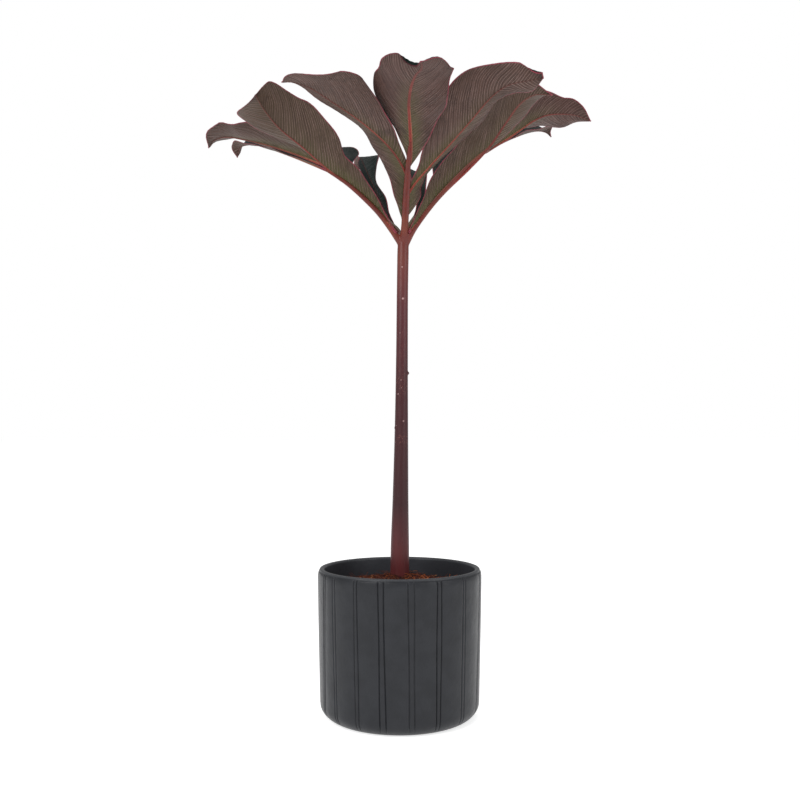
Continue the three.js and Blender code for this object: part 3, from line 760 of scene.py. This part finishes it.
def curve_at(points, t):
    """A smooth curve through points, its ends continued straight, read at t from 0 to 1."""
    points = np.asarray(points, float)
    place = np.clip(np.asarray(t, float), 0.0, 1.0) * (len(points) - 1)
    i = np.minimum(place.astype(int), len(points) - 2)
    w = place - i
    padded = np.vstack([2 * points[:1] - points[1:2], points, 2 * points[-1:] - points[-2:-1]])
    a, b, c, d = padded[i], padded[i + 1], padded[i + 2], padded[i + 3]
    w = w.reshape(w.shape + (1,) * (points.ndim - 1))
    v0, v1 = 0.5 * (c - a), 0.5 * (d - b)
    return b + v0 * w + (3 * (c - b) - 2 * v0 - v1) * w ** 2 + (2 * (b - c) + v0 + v1) * w ** 3


def values_at(values, t):
    return curve_at(np.asarray(values, float)[:, None], t)[..., 0]


def unit(v):
    return v / np.linalg.norm(v, axis=-1, keepdims=True)


def tangents_at(points, t):
    step = 1e-4
    return unit(curve_at(points, np.minimum(t + step, 1.0)) - curve_at(points, np.maximum(t - step, 0.0)))


def tube_rings(path, radii, steps, sides):
    t = np.linspace(0.0, 1.0, steps + 1)
    centres, tangents, widths = curve_at(path, t), tangents_at(path, t), values_at(radii, t)
    across = unit(np.cross(np.array([0.0, 1.0, 0.0]), tangents))
    other = np.cross(tangents, across)
    turn = np.linspace(0.0, 2 * math.pi, sides, endpoint=False)
    rings = centres[:, None] + widths[:, None, None] * (
        across[:, None] * np.cos(turn)[None, :, None] + other[:, None] * np.sin(turn)[None, :, None])
    return [[tuple(p) for p in ring] for ring in rings * MM]


def point_vectors(mesh, label):
    values = np.empty(len(mesh.vertices) * 3)
    mesh.vertices.foreach_get(label, values)
    return values.reshape(-1, 3)


stalk_parts = [skin_of_rings("stalk_run", tube_rings(STALK_PATH, STALK_RADII, STALK_STEPS, STALK_SIDES))]
for arm_name, (path, radii) in ARMS.items():
    stalk_parts.append(skin_of_rings("arm_" + arm_name, tube_rings(path, radii, ARM_STEPS, ARM_SIDES)))
for place, radius in KNOBS:
    ball = bmesh.new()
    bmesh.ops.create_icosphere(ball, subdivisions=3, radius=radius * MM)
    bmesh.ops.translate(ball, verts=ball.verts, vec=Vector(place) * MM)
    knob = object_from("knob", [], [])
    ball.to_mesh(knob.data)
    ball.free()
    stalk_parts.append(knob)
joined = bmesh.new()
for part in stalk_parts:
    joined.from_mesh(part.data)
    bpy.data.objects.remove(part)
stalk = object_from("stalk_skin", [], [])
joined.to_mesh(stalk.data)
joined.free()
remesh = stalk.modifiers.new("one_skin", "REMESH")
remesh.mode = "VOXEL"
remesh.voxel_size = SKIN_GRAIN
remesh.use_smooth_shade = True
even = stalk.modifiers.new("even", "SMOOTH")
even.factor = 0.5
even.iterations = EVEN_PASSES
whole = apply_modifiers(stalk)
places = point_vectors(whole, "co") / MM
near_fork = np.clip(1.0 - np.abs(places[:, 2] - FORK_Z) / FORK_REACH, 0.0, 1.0)
group = stalk.vertex_groups.new(name="fork")
for index in np.nonzero(near_fork)[0]:
    group.add([int(index)], float(near_fork[index]), "REPLACE")
fillet = stalk.modifiers.new("fillet", "SMOOTH")
fillet.factor = 0.5
fillet.iterations = FORK_PASSES
fillet.vertex_group = "fork"
whole = apply_modifiers(stalk)
stalk.vertex_groups.clear()
places = point_vectors(whole, "co") / MM

draw = random.Random(SPOT_SEED)
spots = [(np.array((x, -math.sqrt(max(FRONT_SPOT_RADIUS_SQUARED - x * x, 1.0)), z)), size)
         for x, z, size in FRONT_SPOTS]
path_levels = [p[2] for p in STALK_PATH]
path_shares = np.linspace(0, 1, len(STALK_PATH))
for _ in range(SIDE_SPOTS):
    z = draw.uniform(*SIDE_SPOT_HEIGHTS)
    centre = curve_at(STALK_PATH, np.array([np.interp(z, path_levels, path_shares)]))[0]
    turn = math.radians(draw.uniform(*SIDE_SPOT_TURNS))
    reach = np.array((SIDE_SPOT_REACH * math.cos(turn), SIDE_SPOT_REACH * math.sin(turn), 0.0))
    spots.append((centre + reach, draw.uniform(*SIDE_SPOT_SIZES)))
paleness = np.zeros(len(places))
for centre, size in spots:
    gap = places - centre
    gap[:, 1] *= SPOT_DEPTH_SHARE
    away = np.sqrt((gap ** 2).sum(axis=1))
    paleness = np.maximum(paleness, np.clip(1.2 - away / size, 0.0, 1.0))
point_attribute(stalk, "pale_spot", paleness)
scar = sum(strength * np.exp(-((places[:, 2] - level) / spread) ** 2)
           for level, spread, strength in SCAR_ZONES)
point_attribute(stalk, "scar_zone", np.where(places[:, 1] < SCAR_FRONT_Y, scar, scar * SCAR_BACK_SHARE))
outward = (places - np.array(ARMS_MEET)) * np.array((1.0, 1.0, 0.0))
outward /= np.maximum(np.linalg.norm(outward, axis=1, keepdims=True), 1e-6)
inward = unit(np.array((0.0, 0.0, 0.8)) - outward)
facing_in = (point_vectors(whole, "normal") * inward).sum(axis=1)
wing = np.clip((facing_in - 0.15) / 0.5, 0.0, 1.0)
wing *= np.clip((places[:, 2] - WING_START) / WING_FADE, 0.0, 1.0)
point_attribute(stalk, "wing", wing)

rind = Finish("stalk_rind", 0.42)
patches, grain = rind.mottle(6.0, 0.8, stretch=0.12)
streaks = rind.between(patches, 0.3, 0.7)
level = rind.math("MULTIPLY_ADD", rind.height(), 1.0 / TONES_LENGTH, -TONES_START / TONES_LENGTH)
warm = rind.between(rind.noise(38.0, 1.0), 0.45, 0.75)
high_up = rind.between(rind.height(), 0.365, 0.41)
scribble = rind.between(rind.noise(1100.0, 1.0), 0.60, 0.68)
scarred = rind.math("MULTIPLY", rind.times(scribble, rind.attribute("scar_zone")), 0.55, clamp=True)
spot_mask = rind.between(rind.attribute("pale_spot"), 0.25, 0.75)
tone = rind.layers(rind.ramp(level, STALK_TONES), [
    (streaks, 0.3, (0.032, 0.012, 0.014)),
    (rind.times(warm, high_up), 0.55, (0.165, 0.042, 0.018)),
    (rind.attribute("wing"), 0.85, (0.062, 0.046, 0.012)),
    (scarred, 1.0, (0.22, 0.085, 0.070)),
    (spot_mask, 0.85, (0.44, 0.27, 0.26))])
rind.feed(tone, "Base Color")
rind.feed(rind.between(grain, 0.3, 0.7, 0.27, 0.40), "Roughness")
rind.set("Specular IOR Level", 0.24)
rind.relief([(patches, 0.0004), (spot_mask, 0.0003), (grain, 0.00006)])
stalk.data.materials.append(rind.material)
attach(stalk, "root")
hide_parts("leaf_stalk")

# Leaflets: thin, firm blades with drawn-out tips, each grown from an arm. The underside is brown
# with pale slanting veins and a raised red midrib, olive beside it. The upper side is near-black
# green, quilted, with a sunk midrib. A thin red line runs round the wavy margin.

# Midrib points, half-widths of the left and right halves seen from above walking out, then roll,
# and how far each half folds up, in degrees along the midrib.
LEAFLETS = {
    "front_left": ([(2, -10, 424), (7, -24, 438), (6, -39, 451), (-1, -54, 462), (-14, -69, 473),
        (-32, -82, 484), (-51, -94, 493), (-66, -105, 499), (-78, -114, 500), (-87, -114, 500)],
        [0, 0, 1, 4.5, 9, 22, 34, 43, 38, 16, 0], [0, 11, 15, 18, 18, 14, 14.8, 13, 11, 6.5, 0],
        [16, 4, -8], [10, -12], [10, 0]),
    "front_middle": ([(8, -46, 457), (9, -67, 469), (8, -89, 478), (7, -111, 484.5), (8, -131, 488.5),
        (11, -148, 491), (15, -161, 491), (14, -171, 491.5)],
        [0, 8, 15, 21, 27.5, 28.5, 28.5, 30.2, 24.8, 12, 0],
        [0, 5, 13, 22.8, 29.2, 30.6, 27, 26.2, 18.6, 10.5, 0],
        [-6, -13, 8], [-10, 6, 22], [0, 8, 22]),
    "front_right": ([(5.4, -11, 424), (6, -26, 438), (12.5, -35.6, 447.7), (25.2, -45.3, 459.9),
        (40.3, -58.3, 472.9), (56.4, -73.4, 487), (69.6, -85.5, 499.1), (81.6, -94.6, 505.1),
        (95.8, -99.6, 506.6), (107.9, -103.7, 507.1)],
        [0, 14, 13, 12, 16, 18, 15, 11, 13, 13, 0], [0, 0, 3, 8, 20, 30.6, 35.2, 33, 22.2, 15.2, 8],
        [-6, 5, -32], [16, 5, -6], [14, 6, -12]),
    "left_front": ([(-2, -3, 414), (-21, -5, 434), (-41, -12, 451), (-61, -22, 464), (-80, -37, 477),
        (-97, -53, 487), (-107, -70, 496), (-110.5, -89, 499.8)],
        [0, 4, 11, 16, 18, 28.8, 29.8, 30, 26.5, 20, 0], [0, 0, 0, 0, 1, 5, 12, 18, 21, 19, 0],
        [30, 6, 56], [17, 20], [20, 20]),
    "left_middle": ([(-57, -16, 466), (-87, -8, 480), (-113, -2, 490), (-134, 2, 496), (-150, 4, 499),
        (-161, 4, 496), (-166, 4, 489)],
        [0, 7, 17, 26, 29, 30, 25.5, 23, 21, 12, 0], [0, 3, 9, 15, 20, 22, 22, 21, 20, 10, 0],
        [25, -1, 3], [3, -5], [6, 7]),
    "left_back": ([(-60, -12, 465), (-85, 14, 482), (-107, 36, 496), (-127, 53, 507), (-142, 65, 512),
        (-151, 72, 511), (-154, 76, 503)],
        [0, 3, 8, 13, 16, 17, 16, 15, 11.5, 6, 0], [0, 5, 14, 20, 23, 24, 22, 19, 14, 6, 0],
        [-10, -25, -15], [12, 3], [15, 15]),
    "right_front": ([(7, -5, 414), (22.6, -6, 431), (39.5, -10, 448.6), (58.5, -18, 464.8), (75, -28, 480),
        (87, -41, 495), (97, -54, 506), (107, -65, 509), (119, -76, 505)],
        [0, 0, 0, 0, 0, 4, 11, 15, 15, 9, 0], [0, 7, 13, 19.5, 23.5, 31, 33, 29, 18, 7, 0],
        [-13, -72, -59], [70, 60], [18, 18]),
    "right_middle": ([(75, -19, 481), (90, -14, 491), (103, -9, 501), (115, -5, 510), (127, -1, 516),
        (140, 2, 518), (153, 3, 517), (166, 3, 512)],
        [0, 0, 2, 6, 13, 18, 22, 23, 20, 9, 0], [0, 8, 17, 24, 26, 24, 19, 15, 13, 8, 0],
        [-20, -31, -34], [14, 12], [14, 14]),
    "right_back": ([(73, -13, 481), (89, 13, 497), (104, 33, 509), (118, 48, 518), (129, 59, 523),
        (137, 64, 523), (142, 65, 519)],
        [0, 4, 14, 20, 23, 24, 22, 19, 14, 6, 0], [0, 7, 14, 18, 20, 20, 18, 15, 11, 5, 0],
        [10, 25, 15], [15, 15], [15, 15]),
    "back_left_inner": ([(0, 4, 413), (-7, 13, 426), (-15, 27, 444), (-24, 43, 467), (-32, 60, 488),
        (-37, 78, 503), (-40, 96, 509), (-42, 112, 509), (-44, 126, 504)],
        [0, 0, 2, 7, 9.5, 8, 3, 3, 3, 3, 0], [0, 2, 3, 6.5, 5, 11, 17, 18, 16, 10, 0],
        [0, 0, 0], [12, 10], [10, -4]),
    "back_left_outer": ([(-9, 13, 425), (-22, 24, 442), (-38, 36, 464), (-54, 48, 487), (-69, 63, 503),
        (-82, 79, 513), (-93, 94, 518), (-101, 105, 519), (-106, 113, 516)],
        [0, 2, 9, 17, 23, 25, 25, 22, 16, 7, 0], [0, 2, 5, 9, 18, 38, 39, 26, 16, 8, 0],
        [0, 0, 0], [15, 10], [4, 0]),
    "back_right_outer": ([(5, 4, 413), (14, 13, 427), (24, 27, 445), (35, 43, 467), (46, 60, 490),
        (57, 77, 508), (67, 94, 519), (76, 110, 523), (82, 122, 521)],
        [0, 0, 2, 4, 7, 17, 21, 22, 17, 8, 0], [0, 3, 6, 9, 14, 20, 24, 24, 18, 8, 0],
        [0, 0, 0], [15, 15], [15, 12]),
    "back_right_inner": ([(4.5, 4, 413), (12.2, 14, 431), (16.5, 27, 447), (19.5, 43, 464), (20.5, 62, 480),
        (19, 84, 491.5), (16, 107, 496), (12, 127, 494), (9, 141, 487)],
        [0, 0.6, 0.8, 3, 8, 11, 12, 12, 10, 5, 0], [0, 1.5, 4.5, 6, 5, 5.5, 7, 8, 8, 4, 0],
        [0, 0, 0], [0, 8], [12, 12]),
}
BLADE_THICKNESS = 0.6
EDGE_THINNING = 0.55
BLADE_CURL = 20.0
MARGIN_WAVE = 1.1
MARGIN_WAVES = 7
SLOW_WAVE = 0.35
BROAD_HALF = 15.0
TIP_HALF_WIDTH = 0.35
ROWS = 132
FIRST_SEED = 3
RIB_STEPS = 4
HALF_STEPS = 28
RIB_HALF_WIDTH = (1.4, 0.32)
RIB_DEPTH = (1.9, 0.35)
RIB_TAPER = 0.7
RIB_SINK = 0.3
QUILT_SPACING = 6.5
QUILT_DEPTH = 0.17
VEIN_SLANT = 0.85
VEIN_BEND = 0.016
ROLL_EASE = 0.1
# Margins that have rolled over: side, start and end along the leaflet, width in millimetres and
# turn in degrees, minus for a roll towards the underside.
ROLLS = {
    "front_middle": [(1, 0.80, 1.04, 4.5, -125.0), (-1, 0.66, 1.02, 3.5, -85.0)],
    "front_right": [(1, 0.86, 1.06, 5.0, -115.0)],
    "left_front": [(-1, 0.86, 1.02, 5.0, -60.0)],
    "right_middle": [(1, 0.55, 0.95, 3.0, -60.0)],
}
# Width of the midrib as a share of the usual one, and how olive the underside is.
USUAL_NATURE = (0.8, 0.3)
NATURES = {
    "front_left": (0.95, 0.3), "front_middle": (1.55, 0.1), "front_right": (0.85, 0.3),
    "left_front": (0.75, 0.9), "left_middle": (0.8, 0.35), "left_back": (0.85, 0.4),
    "right_front": (0.45, 0.8), "right_middle": (0.85, 0.05), "right_back": (0.9, 0.3),
}


def straight_blend(values, t):
    return np.interp(t, np.linspace(0.0, 1.0, len(values)), values)


def leaflet_mesh(name, midrib, left, right, roll, fold_left, fold_right, seed):
    """One blade: its two faces, thinned edge, raised midrib below and sunk midrib above."""
    t = np.linspace(0.0, 1.0, ROWS + 1)
    centres, tangents = curve_at(midrib, t), tangents_at(midrib, t)
    up = unit(np.array([0.0, 0.0, 1.0]) - tangents * tangents[:, 2:3])
    turn = np.radians(straight_blend(roll, t))[:, None]
    normals = up * np.cos(turn) + np.cross(tangents, up) * np.sin(turn)
    rights = np.cross(tangents, normals)
    run = np.concatenate([[0.0], np.cumsum(np.linalg.norm(np.diff(centres, axis=0), axis=1))])
    rib_width, olive = NATURES.get(name, USUAL_NATURE)
    rib_half = rib_width * straight_blend(RIB_HALF_WIDTH, t ** RIB_TAPER)
    rib_depth = straight_blend(RIB_DEPTH, t ** RIB_TAPER)
    phase = random.Random(seed)
    waves = [(phase.uniform(0.03, 0.06), phase.uniform(0.05, 0.12), phase.uniform(0, 6.28))
             for _ in range(3)]
    columns = {}
    for side, halves, folds, start in ((-1, left, fold_left, 0.0), (1, right, fold_right, 1.9)):
        half = np.maximum(values_at(halves, t), TIP_HALF_WIDTH)
        keel = np.minimum(0.5, rib_half / half)
        parts = [keel * j / RIB_STEPS for j in range(RIB_STEPS + 1)]
        for j in range(1, HALF_STEPS + 1):
            step = j / HALF_STEPS
            parts.append(keel + (1.0 - keel) * (step + 0.16 * math.sin(math.pi * step) * (step - 0.35)))
        parts = np.clip(np.stack(parts, axis=1), 0.0, 1.0)
        angle = np.radians(straight_blend(folds, t))[:, None] + math.radians(BLADE_CURL) * parts
        for roll_side, first, last, width, degrees in ROLLS.get(name, ()):
            if roll_side == side:
                strength = smooth_step(first, first + ROLL_EASE, t)
                strength *= 1.0 - smooth_step(last - ROLL_EASE, last, t)
                band = smooth_step(0.0, 1.0, 1.0 - (1.0 - parts) * (half / width)[:, None])
                angle += math.radians(degrees) * strength[:, None] * band
        chord = np.diff(parts, axis=1) * half[:, None]
        between = 0.5 * (angle[:, 1:] + angle[:, :-1])
        zero = np.zeros((ROWS + 1, 1))
        out = np.hstack([zero, np.cumsum(chord * np.cos(between), axis=1)])
        lift = np.hstack([zero, np.cumsum(chord * np.sin(between), axis=1)])
        broad = np.minimum(1.0, half / BROAD_HALF)
        for j in range(parts.shape[1]):
            part = parts[:, j]
            across = half * part
            wave = MARGIN_WAVE * np.sin(MARGIN_WAVES * math.pi * t + start) * part ** 2 * broad
            for k_run, k_across, shift in waves:
                turns = k_run * 4 * run + k_across * side * across + shift
                wave += SLOW_WAVE * broad * part * np.sin(turns)
            slant = run - VEIN_SLANT * across - VEIN_BEND * across ** 2
            shape = np.minimum(1.0, 4.0 * part * (1.08 - part)) * broad
            wave += QUILT_DEPTH * shape * np.sin(2 * math.pi * slant / QUILT_SPACING)
            place = centres + rights * (side * out[:, j])[:, None] + normals * (lift[:, j] + wave)[:, None]
            columns[side * j] = (place, side * across, half - across, part / np.maximum(keel, 1e-6))
    order = sorted(columns)
    grid, reach, rim, off_rib = [np.stack([columns[j][k] for j in order], axis=1) for k in range(4)]
    on_rib = np.clip(1.0 - off_rib, 0.0, 1.0)
    rim = np.minimum(rim, (run[-1] - run)[:, None])
    ahead = np.gradient(grid, axis=0)
    sideways = np.gradient(grid, axis=1)
    face_normal = unit(np.cross(sideways, ahead) + 1e-9)
    edge = np.abs(np.linspace(-1, 1, len(order)))[None, :]
    thick = 0.5 * BLADE_THICKNESS * (1.0 - EDGE_THINNING * edge ** 8) * np.ones((ROWS + 1, 1))
    rib_shape = np.sqrt(np.clip(1.0 - (1.0 - on_rib) ** 2, 0.0, 1.0))
    top = grid + face_normal * (thick - RIB_SINK * on_rib)[..., None]
    bottom = grid - face_normal * (thick + rib_depth[:, None] * rib_shape)[..., None]
    wide = len(order)
    count = (ROWS + 1) * wide
    faces = []
    for i in range(ROWS):
        for j in range(wide - 1):
            a = i * wide + j
            b, c, d = a + 1, a + wide, a + wide + 1
            faces.append((a, b, d, c))
            faces.append((count + a, count + c, count + d, count + b))
    border = list(range(wide - 1))
    border += [i * wide + wide - 1 for i in range(ROWS)]
    border += [ROWS * wide + j for j in range(wide - 1, 0, -1)]
    border += [i * wide for i in range(ROWS, 0, -1)]
    for k, a in enumerate(border):
        b = border[(k + 1) % len(border)]
        faces.append((a, count + a, count + b, b))
    both_faces = np.concatenate([top.reshape(-1, 3), bottom.reshape(-1, 3)])
    blade = object_from("blade_" + name, both_faces * MM, faces)
    long_way = np.repeat(run[:, None], wide, axis=1)
    share = np.repeat(t[:, None], wide, axis=1)
    for label, values in (("run", long_way), ("reach", reach), ("rim", rim), ("rib", on_rib),
                          ("share", share)):
        point_attribute(blade, label, np.concatenate([values.ravel()] * 2))
    point_attribute(blade, "under", np.concatenate([np.zeros(count), np.ones(count)]))
    point_attribute(blade, "olive", np.full(2 * count, olive))
    return blade


blade = Finish("leaflet_blade", 0.45)
run, reach, rim = blade.attribute("run"), blade.attribute("reach"), blade.attribute("rim")
rib, share, under = blade.attribute("rib"), blade.attribute("share"), blade.attribute("under")
olive = blade.attribute("olive")
patches, grain = blade.mottle(16.0, 0.5)
patch_mask = blade.between(patches, 0.3, 0.7)
distance = blade.math("ABSOLUTE", reach)
bend = blade.times(blade.times(distance, distance), VEIN_BEND)
slant = blade.math("SUBTRACT", run, blade.math("MULTIPLY_ADD", distance, VEIN_SLANT, bend))
half_sign = blade.math("GREATER_THAN", reach, 0.0)
along_veins = blade.point(blade.times(slant, 0.7), blade.times(distance, 0.03),
                          blade.math("MULTIPLY_ADD", olive, 9.0, half_sign))
streaks = blade.noise(1.0, 3.0, 0.62, along_veins)
light_streak = blade.between(streaks, 0.50, 0.66)
dark_streak = blade.between(streaks, 0.36, 0.48, 1.0, 0.0)
slant = blade.math("ADD", slant, blade.times(blade.noise(45.0, 1.0), 5.0))


def vein_lines(spacing, low):
    """Thin lines along the slanting veins, one every spacing millimetres."""
    cycle = blade.math("FRACT", blade.math("DIVIDE", slant, spacing))
    peak = blade.times(blade.math("ABSOLUTE", blade.math("SUBTRACT", cycle, 0.5)), 2.0)
    return blade.between(peak, low, 1.0)


broken = blade.between(blade.noise(60.0, 2.0), 0.3, 0.7, 0.3, 1.0)
main_veins = blade.times(vein_lines(3.1, 0.64), broken)
fine_veins = vein_lines(1.03, 0.4)
beside_rib = blade.times(blade.between(distance, 1.0, 14.0, 1.0, 0.0),
                         blade.between(share, 0.15, 0.8, 1.0, 0.0))
blotch = blade.between(blade.noise(32.0, 3.0, 0.65), 0.60, 0.72)
tone = blade.layers(blade.mix(patch_mask, (0.044, 0.0190, 0.0150), (0.066, 0.030, 0.0245)), [
    (olive, 0.75, (0.060, 0.043, 0.023)),
    (beside_rib, 0.85, (0.066, 0.066, 0.019)),
    (dark_streak, 0.5, (0.026, 0.010, 0.0085)),
    (light_streak, 0.38, (0.165, 0.100, 0.088)),
    (main_veins, 0.8, (0.250, 0.165, 0.142)),
    (fine_veins, 0.25, (0.022, 0.010, 0.009)),
    (blotch, 0.5, (0.022, 0.011, 0.009)),
    (blade.between(share, 0.93, 1.0), 0.75, (0.020, 0.009, 0.008))])

rib_flank = blade.times(blade.between(rib, 0.1, 0.7, 1.0, 0.0), blade.between(share, 0.1, 0.8, 1.0, 0.0))
rib_patch = blade.between(blade.noise(22.0, 1.0), 0.45, 0.65)
rib_tone = blade.mix(blade.between(share, 0.0, 0.85), (0.20, 0.017, 0.011), (0.15, 0.036, 0.030))
rib_tone = blade.layers(rib_tone, [(rib_flank, 0.75, (0.34, 0.145, 0.085)),
                                   (rib_patch, 0.55, (0.060, 0.014, 0.012))])
rib_mask = blade.times(blade.between(rib, 0.02, 0.2), blade.between(share, 0.5, 0.95, 1.0, 0.35))
under_tone = blade.mix(rib_mask, tone, rib_tone)

upper_tone = blade.layers(blade.mix(patch_mask, (0.0028, 0.0066, 0.0056), (0.0052, 0.0112, 0.0094)), [
    (main_veins, 0.25, (0.008, 0.021, 0.015)),
    (blade.between(rib, 0.05, 0.6), 1.0, (0.050, 0.016, 0.014))])

edge_band = blade.between(rim, 0.5, 1.6, 1.0, 0.0)
edge_line = blade.between(rim, 0.4, 1.05, 1.0, 0.0)
edge_pink = blade.between(blade.noise(26.0, 1.0), 0.34, 0.5, 0.15, 1.0)
tone = blade.layers(blade.mix(under, upper_tone, under_tone), [
    (edge_band, 0.35, (0.036, 0.014, 0.016)),
    (blade.times(edge_line, edge_pink), 0.85, (0.24, 0.042, 0.062))])
blade.feed(tone, "Base Color")
rough = blade.math("ADD", blade.between(under, 0.0, 1.0, 0.34, 0.42), blade.times(grain, 0.10))
blade.feed(rough, "Roughness")
blade.feed(blade.between(under, 0.0, 1.0, 0.05, 0.2), "Specular IOR Level")
blade.relief([(main_veins, 0.0003), (light_streak, 0.0002), (fine_veins, 0.00008), (patches, 0.0008)])

for number, (leaflet_name, data) in enumerate(LEAFLETS.items()):
    leaf = leaflet_mesh(leaflet_name, *data, seed=number + FIRST_SEED)
    leaf.data.materials.append(blade.material)
    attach(leaf, "root")
    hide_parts("leaflet_" + leaflet_name)
